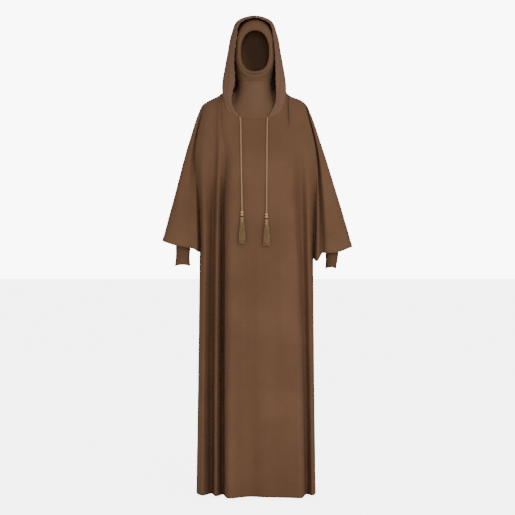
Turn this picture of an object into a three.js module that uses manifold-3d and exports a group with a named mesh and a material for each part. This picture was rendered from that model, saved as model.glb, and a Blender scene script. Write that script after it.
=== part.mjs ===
// Hooded batwing abaya, standing open and empty as it does when it is worn.
// Millimetres, +Z up, front towards -Y. The origin is midway between the two side neck points.
// Left and right are as seen from the front, so left is -X.
import * as THREE from "three";
import { mergeVertices } from "three/addons/utils/BufferGeometryUtils.js";
import Module from "manifold-3d";

// Driving dimensions
const CLOTH = 2.0; // thickness of each cloth wall
const SEAM = 0.3; // gap between two pieces that are sewn or threaded together
const LAP = CLOTH + SEAM; // distance between the middles of two walls that lie on each other
const NECK_HALF_WIDTH = 112.5; // side neck point from the centre line
const SHOULDER_Y = 6; // the shoulder seam lies a little behind the neck's middle
const CHEST_Z = -210;
const WAIST_Z = -390;
const KNEE_Z = -1000;
const HEM_Z = -1406;
const UNDERARM = { leftX: -192, leftZ: -561, rightX: 206, rightZ: -580 };
const UPPER_ROWS = 11; // rows of faces from the shoulders to the underarms
const LOWER_ROWS = 6; // rows of faces from the underarms to the hem
const HOOD_ROWS = 16; // rows of faces from the neckline to the crown seam
const LOOP_POINTS = 28; // points round the inner hood and the neck
const CORD_RADIUS = 2.7;
const CORD_SIDES = 8;

// Small helpers
const vec = (x, y, z) => new THREE.Vector3(x, y, z);
const mix = (a, b, t) => a + (b - a) * t;
const clamp = (t, low, high) => Math.min(high, Math.max(low, t));
const beyond = (near, far) => near.clone().multiplyScalar(2).sub(far);
const count = (n) => Array.from({ length: n }, (_, i) => i);

// A smooth curve through points, counted from 0 at its second point: the first and last only steer its ends.
function steeredCurve(points) {
  const curve = new THREE.CatmullRomCurve3(points, false, "centripetal");
  const spans = points.length - 1;
  return (u) => curve.getPoint(clamp((1 + u) / spans, 0, 1));
}

// A smooth curve through all its points, counted from 0 at the first one.
function openCurve(points) {
  return steeredCurve([beyond(points[0], points[1]), ...points, beyond(points.at(-1), points.at(-2))]);
}

// Places along a table of lines, with a number of steps between each two lines.
function placesBetween(steps) {
  const places = [0];
  steps.forEach((number, i) => {
    for (let k = 1; k <= number; k++) places.push(i + k / number);
  });
  return places;
}
const evenPlaces = (rows, length) => count(rows + 1).map((r) => (r / rows) * length);

// Cloth surfaces
const SAME_PLACE = 0.005; // points this close are one point
class Surface {
  constructor() {
    this.points = [];
    this.faces = [];
    this.index = new Map();
  }

  key(p) {
    return [p.x, p.y, p.z].map((c) => Math.round(c / SAME_PLACE)).join(",");
  }

  add(p) {
    const key = this.key(p);
    if (!this.index.has(key)) {
      this.index.set(key, this.points.length);
      this.points.push(p.clone());
    }
    return this.index.get(key);
  }

  has(p) {
    return this.index.has(this.key(p));
  }

  triangle(a, b, c) {
    if (a !== b && b !== c && c !== a) this.faces.push([a, b, c]);
  }

  // grid[row][column]. A closed grid joins its last column to its first, a flipped one faces the other way.
  addGrid(grid, { closed = false, flipped = false } = {}) {
    const ids = grid.map((row) => row.map((p) => this.add(p)));
    const columns = ids[0].length;
    const last = closed ? columns : columns - 1;
    for (let r = 0; r + 1 < ids.length; r++) {
      for (let c = 0; c < last; c++) {
        const d = (c + 1) % columns;
        this.quad([ids[r][c], ids[r][d], ids[r + 1][d], ids[r + 1][c]], flipped);
      }
    }
    return this;
  }

  // Each quad is cut along its shorter diagonal.
  quad([p, q, s, t], flipped) {
    const shortPS = this.distance(p, s) < this.distance(q, t);
    const pair = shortPS ? [[p, s, q], [p, t, s]] : [[p, t, q], [q, t, s]];
    for (const [i, j, k] of pair) {
      if (flipped) this.triangle(i, k, j);
      else this.triangle(i, j, k);
    }
  }

  distance(a, b) {
    return this.points[a].distanceTo(this.points[b]);
  }

  faceNormal([a, b, c]) {
    const [p, q, r] = [this.points[a], this.points[b], this.points[c]];
    return q.clone().sub(p).cross(r.clone().sub(p));
  }

  edges() {
    return this.faces.flatMap(([a, b, c]) => [[a, b], [b, c], [c, a]]);
  }

  // Edges with a face on one side only
  rim() {
    const seen = new Set(this.edges().map(([i, j]) => `${i},${j}`));
    return this.edges().filter(([i, j]) => !seen.has(`${j},${i}`));
  }

  geometry() {
    const solid = new THREE.BufferGeometry().setFromPoints(this.points);
    solid.setIndex(this.faces.flat());
    return solid;
  }
}

// Outward direction at each point, shared by the surfaces that meet at a seam
function sharedNormals(surfaces) {
  const sums = new Map();
  for (const surface of surfaces) {
    for (const face of surface.faces) {
      const normal = surface.faceNormal(face);
      for (const i of face) {
        const key = surface.key(surface.points[i]);
        if (!sums.has(key)) sums.set(key, vec(0, 0, 0));
        sums.get(key).add(normal);
      }
    }
  }
  return surfaces.map((surface) => surface.points.map((p) => sums.get(surface.key(p)).clone().normalize()));
}

// Rim points that this surface shares with others are drawn back by a little over half a seam, square to it.
const SEAM_SHARE = { usual: 0.62, sleeve: 1.45 }; // more where a sleeve turns sharply away from the body
function openSeams(surface, others, share) {
  const neighbours = surface.points.map(() => new Set());
  for (const [i, j] of surface.edges()) {
    neighbours[i].add(j);
    neighbours[j].add(i);
  }
  const rim = surface.rim();
  const onRim = new Set(rim.flat());
  const alongRim = surface.points.map(() => vec(0, 0, 0));
  for (const [i, j] of rim) {
    const step = surface.points[j].clone().sub(surface.points[i]).normalize();
    alongRim[i].add(step);
    alongRim[j].add(step);
  }
  const shared = surface.points.map((p, i) => onRim.has(i) && others.some((other) => other.has(p)));
  return surface.points.map((p, i) => {
    if (!shared[i]) return p.clone();
    const inward = vec(0, 0, 0);
    for (const j of neighbours[i]) {
      if (!shared[j]) inward.add(surface.points[j].clone().sub(p).normalize());
    }
    const along = alongRim[i].normalize();
    const square = inward.clone().addScaledVector(along, -inward.dot(along));
    if (square.lengthSq() < 1e-9) return p.clone();
    return p.clone().addScaledVector(square.normalize(), SEAM * share);
  });
}

// A wall about a surface, closed round its rim. outside and inside are its faces' distances from the surface.
function wall(surface, normals, points = surface.points, outside = CLOTH / 2, inside = -CLOTH / 2) {
  const reach = (amount, i) => (typeof amount === "function" ? amount(i) : amount);
  const outer = points.map((p, i) => p.clone().addScaledVector(normals[i], reach(outside, i)));
  const inner = points.map((p, i) => p.clone().addScaledVector(normals[i], reach(inside, i)));
  const size = points.length;
  const index = [];
  for (const [a, b, c] of surface.faces) index.push(a, b, c, a + size, c + size, b + size);
  for (const [i, j] of surface.rim()) index.push(j, i, i + size, j, i + size, j + size);
  const solid = new THREE.BufferGeometry().setFromPoints([...outer, ...inner]);
  solid.setIndex(index);
  return solid;
}

// Positions only, with each corner held once and no empty faces
function cleaned(geometry) {
  const bare = new THREE.BufferGeometry();
  bare.setAttribute("position", geometry.getAttribute("position"));
  if (geometry.index) bare.setIndex(geometry.index);
  const merged = mergeVertices(bare, 1e-4);
  const index = [];
  for (let i = 0; i < merged.index.count; i += 3) {
    const [a, b, c] = [0, 1, 2].map((k) => merged.index.getX(i + k));
    if (a !== b && b !== c && c !== a) index.push(a, b, c);
  }
  merged.setIndex(index);
  return merged;
}

// Materials
const finish = (color, roughness) => new THREE.MeshStandardMaterial({ color, roughness, metalness: 0 });
const crepe = () => finish(0x6e4e35, 0.85);
const cuffCloth = () => finish(0x5f4634, 0.88);
const braid = () => finish(0x80624a, 0.7);
const beadWood = () => finish(0x8a6a48, 0.45);
const darkRing = () => finish(0x3a2a1e, 0.5);
const tasselThread = () => finish(0x70563a, 0.6);

const garment = new THREE.Group();
function addPiece(name, geometry, material) {
  const mesh = new THREE.Mesh(geometry, material);
  mesh.name = name;
  garment.add(mesh);
  return mesh;
}

// Body outline, seen from the front: the fold over each arm, from the side neck point to the sleeve's corner
const OVERARM = {
  left: [
    { x: -112.5, z: 0 },
    { x: -130, z: -12 },
    { x: -156.5, z: -25 },
    { x: -181, z: -41 },
    { x: -192.5, z: -62 },
    { x: -206.5, z: -96 },
    { x: -227.5, z: -166 },
    { x: -248, z: -237 },
    { x: -266, z: -307 },
    { x: -284, z: -378 },
    { x: -305, z: -448 },
    { x: -322, z: -519 },
  ],
  right: [
    { x: 112.5, z: 0 },
    { x: 127, z: -11 },
    { x: 162.5, z: -25 },
    { x: 180.5, z: -39 },
    { x: 191.5, z: -60 },
    { x: 207.5, z: -95 },
    { x: 229.5, z: -165 },
    { x: 252.5, z: -236 },
    { x: 272.5, z: -306 },
    { x: 295.5, z: -377 },
    { x: 316.5, z: -447 },
    { x: 343.5, z: -542 },
  ],
};
const SLEEVE_TOP_ROW = 4; // the row of the outline where the sleeve's outermost line begins
const FOLD_CREST = 0.6; // rows from there to the line's next point

// The sleeve's fold lines, from the fold over the arm to the body. across is the share of the way to the
// body's side, depth the share of the sleeve's half depth, and the last two are the line's end at the hem.
const SLEEVE_LINES = {
  left: [
    { across: 0, depth: 0, hemX: -322, hemZ: -519 },
    { across: 0.1, depth: 0.72, hemX: -311, hemZ: -526 },
    { across: 0.36, depth: 1.0, hemX: -276, hemZ: -537 },
    { across: 0.62, depth: 1.02, hemX: -239, hemZ: -544 },
    { across: 0.84, depth: 0.8, hemX: -213, hemZ: -549 },
    { across: 0.93, depth: 0.86, hemX: -201, hemZ: -556 },
  ],
  right: [
    { across: 0, depth: 0, hemX: 343.5, hemZ: -542 },
    { across: 0.1, depth: 0.72, hemX: 329, hemZ: -547 },
    { across: 0.36, depth: 1.05, hemX: 294, hemZ: -560 },
    { across: 0.66, depth: 1.12, hemX: 251, hemZ: -564 },
    { across: 0.79, depth: 0.55, hemX: 237, hemZ: -564 },
    { across: 0.91, depth: 0.95, hemX: 219, hemZ: -592 },
  ],
};
const SLEEVE_STEPS = [3, 2, 2, 1, 2, 1];
const SLEEVE_MIDDLE_Y = { chest: 0, waist: -12, hip: -22 };
const SLEEVE_HALF_DEPTH = { chest: 47, waist: 47, hip: 43 };

// Fold lines that run down the body, from the left side seam to the right one. topX is where a line starts on
// the shoulder seam or the neckline, and the pairs of x and y are its places at five heights.
const foldLine = (topX, chest, waist, hip, knee, hem) => ({ topX, chest, waist, hip, knee, hem });
const FRONT_LINES = [
  // top, then chest, waist, hip, knee and hem
  foldLine(-172, [-206, -54], [-197, -36], [-192, -10], [-198, 4], [-204, 8]),
  foldLine(-156, [-178, -86], [-176, -80], [-173, -66], [-177, -74], [-180, -82]),
  foldLine(-139, [-136, -94], [-143, -60], [-146, -42], [-150, -36], [-151, -34]),
  foldLine(-122, [-122, -112], [-127, -108], [-129, -101], [-132, -100], [-133, -100]),
  foldLine(-112.5, [-114, -112], [-119, -97], [-120, -86], [-122, -80], [-122, -80]),
  foldLine(-108, [-104, -112], [-110, -80], [-109, -64], [-110, -56], [-110, -56]),
  foldLine(-80, [-78, -134], [-86, -141], [-87, -143], [-87, -148], [-86, -154]),
  foldLine(-51, [-38, -142], [-34, -144], [-31, -140], [-24, -128], [-16, -110]),
  foldLine(-2, [7, -144], [12, -148], [18, -147], [26, -140], [33, -124]),
  foldLine(46, [54, -140], [60, -142], [64, -139], [73, -134], [80, -132]),
  foldLine(104, [108, -128], [113, -134], [120, -134], [129, -138], [134, -142]),
  foldLine(112.5, [121, -121], [128, -128], [136, -128], [147, -137], [152, -147]),
  foldLine(122, [129, -115], [136, -122], [145, -122], [156, -133], [161, -146]),
  foldLine(139, [156, -90], [164, -66], [169, -52], [177, -50], [183, -48]),
  foldLine(156, [180, -82], [186, -76], [189, -66], [196, -68], [201, -76]),
  foldLine(172, [213, -54], [213, -36], [206, -10], [210, 4], [215, 8]),
];
const FRONT_STEPS = [3, 3, 3, 1, 3, 3, 3, 3, 3, 5, 4, 1, 3, 3, 3];
const BACK_LINES = [
  foldLine(-172, [-204, 60], [-197, 34], [-192, -10], [-198, 4], [-204, 8]),
  foldLine(-156, [-172, 88], [-172, 76], [-171, 62], [-174, 76], [-179, 90]),
  foldLine(-139, [-138, 98], [-141, 66], [-142, 42], [-144, 44], [-146, 48]),
  foldLine(-122, [-116, 111], [-118, 103], [-118, 97], [-119, 104], [-120, 114]),
  foldLine(-112.5, [-102, 114], [-104, 108], [-104, 103], [-105, 111], [-106, 121]),
  foldLine(-58, [-52, 116], [-53, 96], [-54, 84], [-55, 84], [-56, 88]),
  foldLine(0, [2, 118], [3, 122], [4, 122], [4, 130], [5, 142]),
  foldLine(58, [58, 116], [60, 94], [62, 82], [64, 82], [66, 86]),
  foldLine(112.5, [107, 114], [110, 109], [113, 105], [115, 113], [118, 123]),
  foldLine(122, [121, 111], [125, 104], [127, 99], [130, 106], [133, 116]),
  foldLine(139, [146, 98], [150, 66], [152, 44], [155, 46], [158, 50]),
  foldLine(156, [178, 88], [182, 76], [184, 62], [189, 76], [194, 90]),
  foldLine(172, [211, 60], [213, 34], [206, -10], [210, 4], [215, 8]),
];
const BACK_STEPS = [3, 3, 3, 1, 3, 3, 3, 3, 1, 3, 3, 3];

// Neckline: half of it in front and half behind, from a side neck point to the centre
const NECKLINE_FRONT = [
  { x: NECK_HALF_WIDTH, y: SHOULDER_Y, z: 0 },
  { x: 112, y: -24, z: -4 },
  { x: 110.8, y: -39, z: -13 },
  { x: 109, y: -53, z: -28 },
  { x: 104, y: -65, z: -48 },
  { x: 93, y: -79, z: -68 },
  { x: 76, y: -87, z: -83 },
  { x: 51, y: -92.5, z: -97 },
  { x: 0, y: -96, z: -104 },
];
const NECKLINE_BACK = [
  { x: NECK_HALF_WIDTH, y: SHOULDER_Y, z: 0 },
  { x: 109, y: 30, z: 0.5 },
  { x: 95, y: 55, z: 3 },
  { x: 66, y: 72, z: 6 },
  { x: 34, y: 78.5, z: 7.5 },
  { x: 0, y: 80, z: 8 },
];
const QUARTER = Math.PI / 2;
const necklineCurve = (table) => {
  const points = table.map(({ x, y, z }) => vec(x, y, z));
  const overCentre = vec(-points.at(-2).x, points.at(-2).y, points.at(-2).z);
  return steeredCurve([beyond(points[0], points[1]), ...points, overCentre]);
};
const FINE = 400; // steps for measuring along the neckline
function measured(table) {
  const curve = necklineCurve(table);
  const points = count(FINE + 1).map((i) => curve((i / FINE) * (table.length - 1)));
  const lengths = [0];
  for (let i = 1; i <= FINE; i++) lengths.push(lengths[i - 1] + points[i].distanceTo(points[i - 1]));
  return { points, lengths };
}
const neckline = { front: measured(NECKLINE_FRONT), back: measured(NECKLINE_BACK) };

// A neckline point at a share of the way from the side neck point to the centre
function necklinePoint(share, side, isFront) {
  const { points, lengths } = isFront ? neckline.front : neckline.back;
  const wanted = clamp(share, 0, 1) * lengths.at(-1);
  const i = Math.max(1, lengths.findIndex((length) => length >= wanted));
  const p = points[i - 1].clone().lerp(points[i], (wanted - lengths[i - 1]) / (lengths[i] - lengths[i - 1]));
  return vec(side * p.x, p.y, p.z);
}

// The share of the way to the centre at which the neckline has a given distance from the centre line
function shareAtX(x, isFront) {
  const { points, lengths } = isFront ? neckline.front : neckline.back;
  const i = points.findIndex((p) => p.x <= Math.abs(x) + 1e-9);
  if (i <= 0) return 0;
  const part = (points[i - 1].x - Math.abs(x)) / (points[i - 1].x - points[i].x);
  return mix(lengths[i - 1], lengths[i], part) / lengths.at(-1);
}

const overarmCurve = {
  left: openCurve(OVERARM.left.map(({ x, z }) => vec(x, SHOULDER_Y, z))),
  right: openCurve(OVERARM.right.map(({ x, z }) => vec(x, SHOULDER_Y, z))),
};

// The place on the overarm fold where a test turns from false to true
const HALVINGS = 30;
function overarmWhere(side, passed) {
  let low = 0;
  let high = OVERARM[side].length - 1;
  for (let halving = 0; halving < HALVINGS; halving++) {
    const middle = (low + high) / 2;
    if (passed(overarmCurve[side](middle))) high = middle;
    else low = middle;
  }
  return overarmCurve[side](low);
}
const seamAtX = (side, x) => overarmWhere(side, (p) => Math.abs(p.x) > Math.abs(x));
const seamAtZ = (side, z) => overarmWhere(side, (p) => p.z < z);

// The top edge of a panel between two lines: neckline inside the side neck points, shoulder seam outside
function topEdge(lines, u, isFront) {
  const i = Math.min(lines.length - 2, Math.floor(u));
  const [from, to, share] = [lines[i].topX, lines[i + 1].topX, u - i];
  const side = from + to < 0 ? -1 : 1;
  if (Math.abs(from) > NECK_HALF_WIDTH || Math.abs(to) > NECK_HALF_WIDTH) {
    return seamAtX(side < 0 ? "left" : "right", mix(from, to, share));
  }
  const fromCentre = (x) => Math.sign(x) * (1 - shareAtX(x, isFront));
  const place = mix(fromCentre(from), fromCentre(to), share);
  return necklinePoint(1 - Math.abs(place), Math.sign(place) || 1, isFront);
}

const underarmZ = (x) => {
  const share = clamp((x - UNDERARM.leftX) / (UNDERARM.rightX - UNDERARM.leftX), 0, 1);
  return mix(UNDERARM.leftZ, UNDERARM.rightZ, share);
};
const STATION_Z = {
  chest: () => CHEST_Z,
  waist: () => WAIST_Z,
  hip: underarmZ,
  knee: () => KNEE_Z,
  hem: () => HEM_Z,
};
const stationPoint = (line, name) => vec(line[name][0], line[name][1], STATION_Z[name](line[name][0]));

function sleevePoint(side, isFront, line, name) {
  const y = SLEEVE_MIDDLE_Y[name] + (isFront ? -1 : 1) * SLEEVE_HALF_DEPTH[name] * line.depth;
  if (name === "hip") return vec(line.hemX, y, line.hemZ);
  const lines = isFront ? FRONT_LINES : BACK_LINES;
  const body = side === "left" ? lines[0] : lines.at(-1);
  const z = STATION_Z[name](0);
  return vec(mix(seamAtZ(side, z).x, body[name][0], line.across), y, z);
}

// A column of cloth from the top edge over the shoulder or chest and down to the underarm's height. Its crest
// reaches far out over the shoulder, and less in front of the neckline, whose sides it leaves outwards.
const NECKLINE_FLARE = { most: 10, from: 70, over: 35 };
const CREST = { x: 0.2, shoulderY: 0.56, shoulderZ: 0.18, neckY: 0.3, neckZ: 0.28, frontDepth: 80 };
const CREST_ARCH = { back: -0.9, rise: 4 }; // steers how a column leaves its top edge
function columnAbove(top, chest, waist, hip, after) {
  const fromCentre = Math.abs(top.x);
  const towardsSide = clamp((fromCentre - NECKLINE_FLARE.from) / NECKLINE_FLARE.over, 0, 1);
  const flare = fromCentre > NECK_HALF_WIDTH ? 0 : NECKLINE_FLARE.most * towardsSide;
  const crestX = mix(top.x, chest.x, CREST.x) + Math.sign(top.x) * flare;
  const inFront = clamp((SHOULDER_Y - top.y) / CREST.frontDepth, 0, 1);
  const shareY = mix(CREST.shoulderY, CREST.neckY, inFront);
  const shareZ = mix(CREST.shoulderZ, CREST.neckZ, inFront);
  const crest = vec(crestX, mix(top.y, chest.y, shareY), mix(top.z, chest.z, shareZ));
  const atNeck = fromCentre < NECK_HALF_WIDTH - 1e-6;
  const before = vec(top.x, mix(top.y, crest.y, CREST_ARCH.back), crest.z - CREST_ARCH.rise);
  if (atNeck) before.copy(top).lerp(crest, CREST_ARCH.back);
  return steeredCurve([before, top, crest, chest, waist, hip, after]);
}

// Heights of the upper rows, closer together near the top where the cloth turns over
const CLOSENESS = 1.15;
const UPPER_PLACES = count(UPPER_ROWS + 1).map((r) => 4 * (r / UPPER_ROWS) ** CLOSENESS);

// One panel's rows of points: body above the underarm, body below it, and both sleeves
function panelGrids(isFront) {
  const lines = isFront ? FRONT_LINES : BACK_LINES;
  const others = isFront ? BACK_LINES : FRONT_LINES;
  const places = placesBetween(isFront ? FRONT_STEPS : BACK_STEPS);
  const across = (name) => {
    const points = lines.map((line) => stationPoint(line, name));
    const isUpper = name === "chest" || name === "waist";
    const steer = (side) => {
      if (isUpper) return sleevePoint(side, isFront, SLEEVE_LINES[side].at(-1), name);
      return stationPoint(side === "left" ? others[1] : others.at(-2), name);
    };
    return steeredCurve([steer("left"), ...points, steer("right")]);
  };
  const [chest, waist, hip, knee, hem] = ["chest", "waist", "hip", "knee", "hem"].map(across);
  const columns = places.map((u) => {
    const [c, w, h, k, e] = [chest(u), waist(u), hip(u), knee(u), hem(u)];
    return {
      above: columnAbove(topEdge(lines, u, isFront), c, w, h, h.clone().lerp(k, 0.5)),
      below: steeredCurve([beyond(h, k), h, k, e, beyond(e, k)]),
    };
  });
  const upper = UPPER_PLACES.map((place) => columns.map((column) => column.above(place)));
  const lower = evenPlaces(LOWER_ROWS, 2).map((place) => columns.map((column) => column.below(place)));
  lower[0] = upper.at(-1);
  const [left, right] = ["left", "right"].map((side) => sleeveGrid(side, isFront, upper));
  return { upper, lower, left, right };
}

// A sleeve's rows of points, from the overarm fold to the body's side column
function sleeveGrid(side, isFront, upper) {
  const lines = SLEEVE_LINES[side];
  const bodyLines = isFront ? FRONT_LINES : BACK_LINES;
  const bodyColumn = upper.map((row) => (side === "left" ? row[0] : row.at(-1)));
  const across = (name) => {
    const opposite = sleevePoint(side, !isFront, lines[1], name);
    const points = lines.map((line) => sleevePoint(side, isFront, line, name));
    const joined = stationPoint(side === "left" ? bodyLines[0] : bodyLines.at(-1), name);
    const next = stationPoint(side === "left" ? bodyLines[1] : bodyLines.at(-2), name);
    return steeredCurve([opposite, ...points, joined, next]);
  };
  const [chest, waist, hip] = ["chest", "waist", "hip"].map(across);
  const grid = UPPER_PLACES.map(() => []);
  for (const u of placesBetween(SLEEVE_STEPS).slice(0, -1)) {
    const outermost = overarmCurve[side](SLEEVE_TOP_ROW);
    const top = seamAtX(side, mix(outermost.x, bodyColumn[0].x, u / lines.length));
    const [c, w, h] = [chest(u), waist(u), hip(u)];
    const [before, after] = [-1, FOLD_CREST].map((rows) => overarmCurve[side](SLEEVE_TOP_ROW + rows));
    const onFold = steeredCurve([before, top, after, c, w, h, beyond(h, w)]);
    const column = u === 0 ? onFold : columnAbove(top, c, w, h, beyond(h, w));
    grid.forEach((row, r) => row.push(column(UPPER_PLACES[r])));
  }
  grid.forEach((row, r) => row.push(bodyColumn[r]));
  return grid;
}

// The body's share of a panel, and one sleeve's share
function bodySurface(grids, isFront) {
  return new Surface().addGrid(grids.upper, { flipped: !isFront }).addGrid(grids.lower, { flipped: !isFront });
}
function sleeveSurface(grids, side, isFront) {
  const fromHem = [...grids[side]].reverse();
  return new Surface().addGrid(fromHem, { flipped: (side === "left") === isFront });
}

// Outer hood: arched ribs that stand on the neckline and lean over to the crown seam. The first is the hood's
// edge and the last its centre back. bow swells a rib backwards, and the widths are half widths at five
// shares of the rib's height.
const RIB_HEIGHTS = [0.17, 0.37, 0.57, 0.79, 0.94];
const HOOD_RIBS = {
  left: [
    { crownY: -47, crownZ: 260, bow: 6, widths: [81, 70, 72.5, 64, 53] },
    { crownY: -8, crownZ: 271, bow: 4, widths: [99, 97, 92, 80, 62] },
    { crownY: 32, crownZ: 275, bow: 2, widths: [112.5, 104, 94, 80, 55] },
    { crownY: 72, crownZ: 262, bow: 8, widths: [105, 98, 88, 70, 46] },
    { crownY: 106, crownZ: 226, bow: 18, widths: [72, 68, 60, 45, 25] },
    { crownY: 118, crownZ: 186, bow: 19, widths: [0, 0, 0, 0, 0] },
  ],
  right: [
    { crownY: -47, crownZ: 260, bow: 6, widths: [75, 76, 74.5, 68, 55] },
    { crownY: -8, crownZ: 271, bow: 4, widths: [89, 94, 91, 79, 61] },
    { crownY: 32, crownZ: 275, bow: 2, widths: [109.5, 102, 92, 78.5, 53] },
    { crownY: 72, crownZ: 262, bow: 8, widths: [103, 96, 86, 69, 45] },
    { crownY: 106, crownZ: 226, bow: 18, widths: [71, 67, 59, 44, 24] },
    { crownY: 118, crownZ: 186, bow: 19, widths: [0, 0, 0, 0, 0] },
  ],
};
const HOOD_FOOT_LINES = {
  left: { frontEnd: 7, frontSide: 4, backSide: 4, backCentre: 6 },
  right: { frontEnd: 9, frontSide: 11, backSide: 8, backCentre: 6 },
};

// The neckline points under one half of the hood, from its front end to the centre back
function hoodFoot(side, frontTop, backTop) {
  const column = (steps, line) => steps.slice(0, line).reduce((sum, n) => sum + n, 0);
  const stretch = (row, steps, fromLine, toLine) => {
    const [from, to] = [column(steps, fromLine), column(steps, toLine)];
    return from <= to ? row.slice(from, to + 1) : row.slice(to, from + 1).reverse();
  };
  const lines = HOOD_FOOT_LINES[side];
  const inFront = stretch(frontTop, FRONT_STEPS, lines.frontEnd, lines.frontSide);
  const behind = stretch(backTop, BACK_STEPS, lines.backSide, lines.backCentre);
  return [...inFront, ...behind.slice(1)];
}

function ribPoints(rib, foot, sign) {
  const points = RIB_HEIGHTS.map((share, k) => {
    const y = mix(foot.y, rib.crownY, share) + rib.bow * Math.sin(Math.PI * share);
    return vec(sign * rib.widths[k], y, mix(foot.z, rib.crownZ, share));
  });
  return [...points, vec(0, rib.crownY, rib.crownZ)];
}

const mirrored = (p) => vec(-p.x, p.y, p.z);

function hoodGrid(side, foot) {
  const sign = side === "left" ? -1 : 1;
  const ribs = HOOD_RIBS[side];
  const columns = foot.length - 1;
  const stepsPerRib = columns / (ribs.length - 1);
  const arches = ribs.map((rib, i) => ribPoints(rib, foot[i * stepsPerRib], sign));
  const stations = arches[0].map((_, k) => {
    const row = arches.map((arch) => arch[k]);
    return steeredCurve([beyond(row[0], row[1]), ...row, mirrored(row.at(-2))]);
  });
  const curves = foot.map((start, column) => {
    const points = stations.map((station) => station(column / stepsPerRib));
    return steeredCurve([beyond(start, points[0]), start, ...points, mirrored(points.at(-2))]);
  });
  return evenPlaces(HOOD_ROWS, stations.length).map((place) =>
    curves.map((curve, column) => {
      const p = curve(place);
      return column === columns ? vec(0, p.y, p.z) : p;
    })
  );
}

// Inner hood: loops from the face opening round the head to the neck, each through a chin and a crown point.
// They are a little squarer than ellipses, and those round the face are wider at the jaw than at the brow.
const LOOP_SQUARENESS = 0.05;
const INNER_LOOPS = [
  { x: 2.2, chinY: -77, chinZ: 63, crownY: -71, crownZ: 216, half: 53, jaw: 0.08 },
  { x: 2.2, chinY: -79, chinZ: 57.5, crownY: -66, crownZ: 231, half: 58.5, jaw: 0.07 },
  { x: 2, chinY: -77.5, chinZ: 52, crownY: -50, crownZ: 246, half: 62.5, jaw: 0.05 },
  { x: 1.8, chinY: -74.5, chinZ: 48, crownY: -16, crownZ: 257, half: 67, jaw: 0.03 },
  { x: 1.5, chinY: -71.5, chinZ: 45, crownY: 24, crownZ: 260, half: 71, jaw: 0 },
  { x: 1, chinY: -69.5, chinZ: 42.5, crownY: 63, crownZ: 246, half: 73, jaw: 0 },
  { x: 0.5, chinY: -68, chinZ: 41, crownY: 92, crownZ: 208, half: 72.5, jaw: 0 },
  { x: 0, chinY: -66.8, chinZ: 39.8, crownY: 103, crownZ: 156, half: 70.5, jaw: 0 },
  { x: 0, chinY: -65.8, chinZ: 38.8, crownY: 97, crownZ: 104, half: 67, jaw: 0 },
  { x: 0, chinY: -64.9, chinZ: 37.9, crownY: 81, crownZ: 66, half: 63, jaw: 0 },
  { x: 0, chinY: -64, chinZ: 37, crownY: 66, crownZ: 42, half: 60, jaw: 0 },
];
const loopTurns = count(LOOP_POINTS).map((i) => (i / LOOP_POINTS) * 4 * QUARTER);
function loopPoint(loop, turn) {
  const up = (1 - Math.cos(turn)) / 2;
  const out = (Math.sin(turn) + LOOP_SQUARENESS * Math.sin(3 * turn)) / (1 - LOOP_SQUARENESS);
  const x = loop.x + loop.half * out * (1 + loop.jaw * Math.cos(turn));
  return vec(x, mix(loop.chinY, loop.crownY, up), mix(loop.chinZ, loop.crownZ, up));
}
const innerGrid = INNER_LOOPS.map((loop) => loopTurns.map((turn) => loopPoint(loop, turn)));

// Inner neck: from the inner hood's last loop down to the inside of the neckline. It stays close about the
// neck for most of the way and spreads low down, and at the sides it sags into a hollow.
const NECK_ROWS = 6;
const NECK_CLOSENESS = { front: 1.1, side: 2.5, back: 1.3 };
const NECK_SAG = 0.28;
const NECK_TUCK = 3; // how far it goes down past the neckline
const NECK_MIDDLE_Y = -10;
function neckFoot(turn) {
  const half = turn > 2 * QUARTER ? 4 * QUARTER - turn : turn;
  const p = necklinePoint(Math.abs(QUARTER - half) / QUARTER, turn > 2 * QUARTER ? -1 : 1, half < QUARTER);
  const inward = vec(-p.x, NECK_MIDDLE_Y - p.y, 0).normalize();
  return p.addScaledVector(inward, LAP).add(vec(0, 0, -NECK_TUCK));
}
function neckPoint(top, turn, share) {
  const foot = neckFoot(turn);
  const aside = Math.sin(turn) ** 2;
  const middle = Math.cos(turn) > 0 ? NECK_CLOSENESS.front : NECK_CLOSENESS.back;
  const outShare = share ** mix(middle, NECK_CLOSENESS.side, aside);
  const downShare = share + NECK_SAG * aside * Math.sin(Math.PI * share);
  return vec(mix(top.x, foot.x, outShare), mix(top.y, foot.y, outShare), mix(top.z, foot.z, downShare));
}
const neckGrid = evenPlaces(NECK_ROWS, 1).map((share) =>
  loopTurns.map((turn, i) => {
    const top = innerGrid.at(-1)[i];
    return share === 0 ? top : neckPoint(top, turn, share);
  })
);

// Face binding: a rolled ring round the face opening
const BINDING_RADIUS = 2.4;
const BINDING_SIDES = 6;
function bindingRing() {
  const section = (i) => {
    const [edge, behind] = [innerGrid[0][i], innerGrid[1][i]];
    const out = edge.clone().sub(behind).normalize();
    const middle = edge.clone().addScaledVector(out, BINDING_RADIUS + SEAM);
    const [next, previous] = [1, LOOP_POINTS - 1].map((step) => innerGrid[0][(i + step) % LOOP_POINTS]);
    const side = next.clone().sub(previous).cross(out).normalize();
    return count(BINDING_SIDES).map((k) => {
      const a = (k / BINDING_SIDES) * 4 * QUARTER;
      const round = out.clone().multiplyScalar(Math.cos(a)).addScaledVector(side, Math.sin(a));
      return middle.clone().addScaledVector(round, BINDING_RADIUS);
    });
  };
  const rows = count(LOOP_POINTS).map(section);
  return new Surface().addGrid([...rows, rows[0]], { closed: true, flipped: true }).geometry();
}

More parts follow.
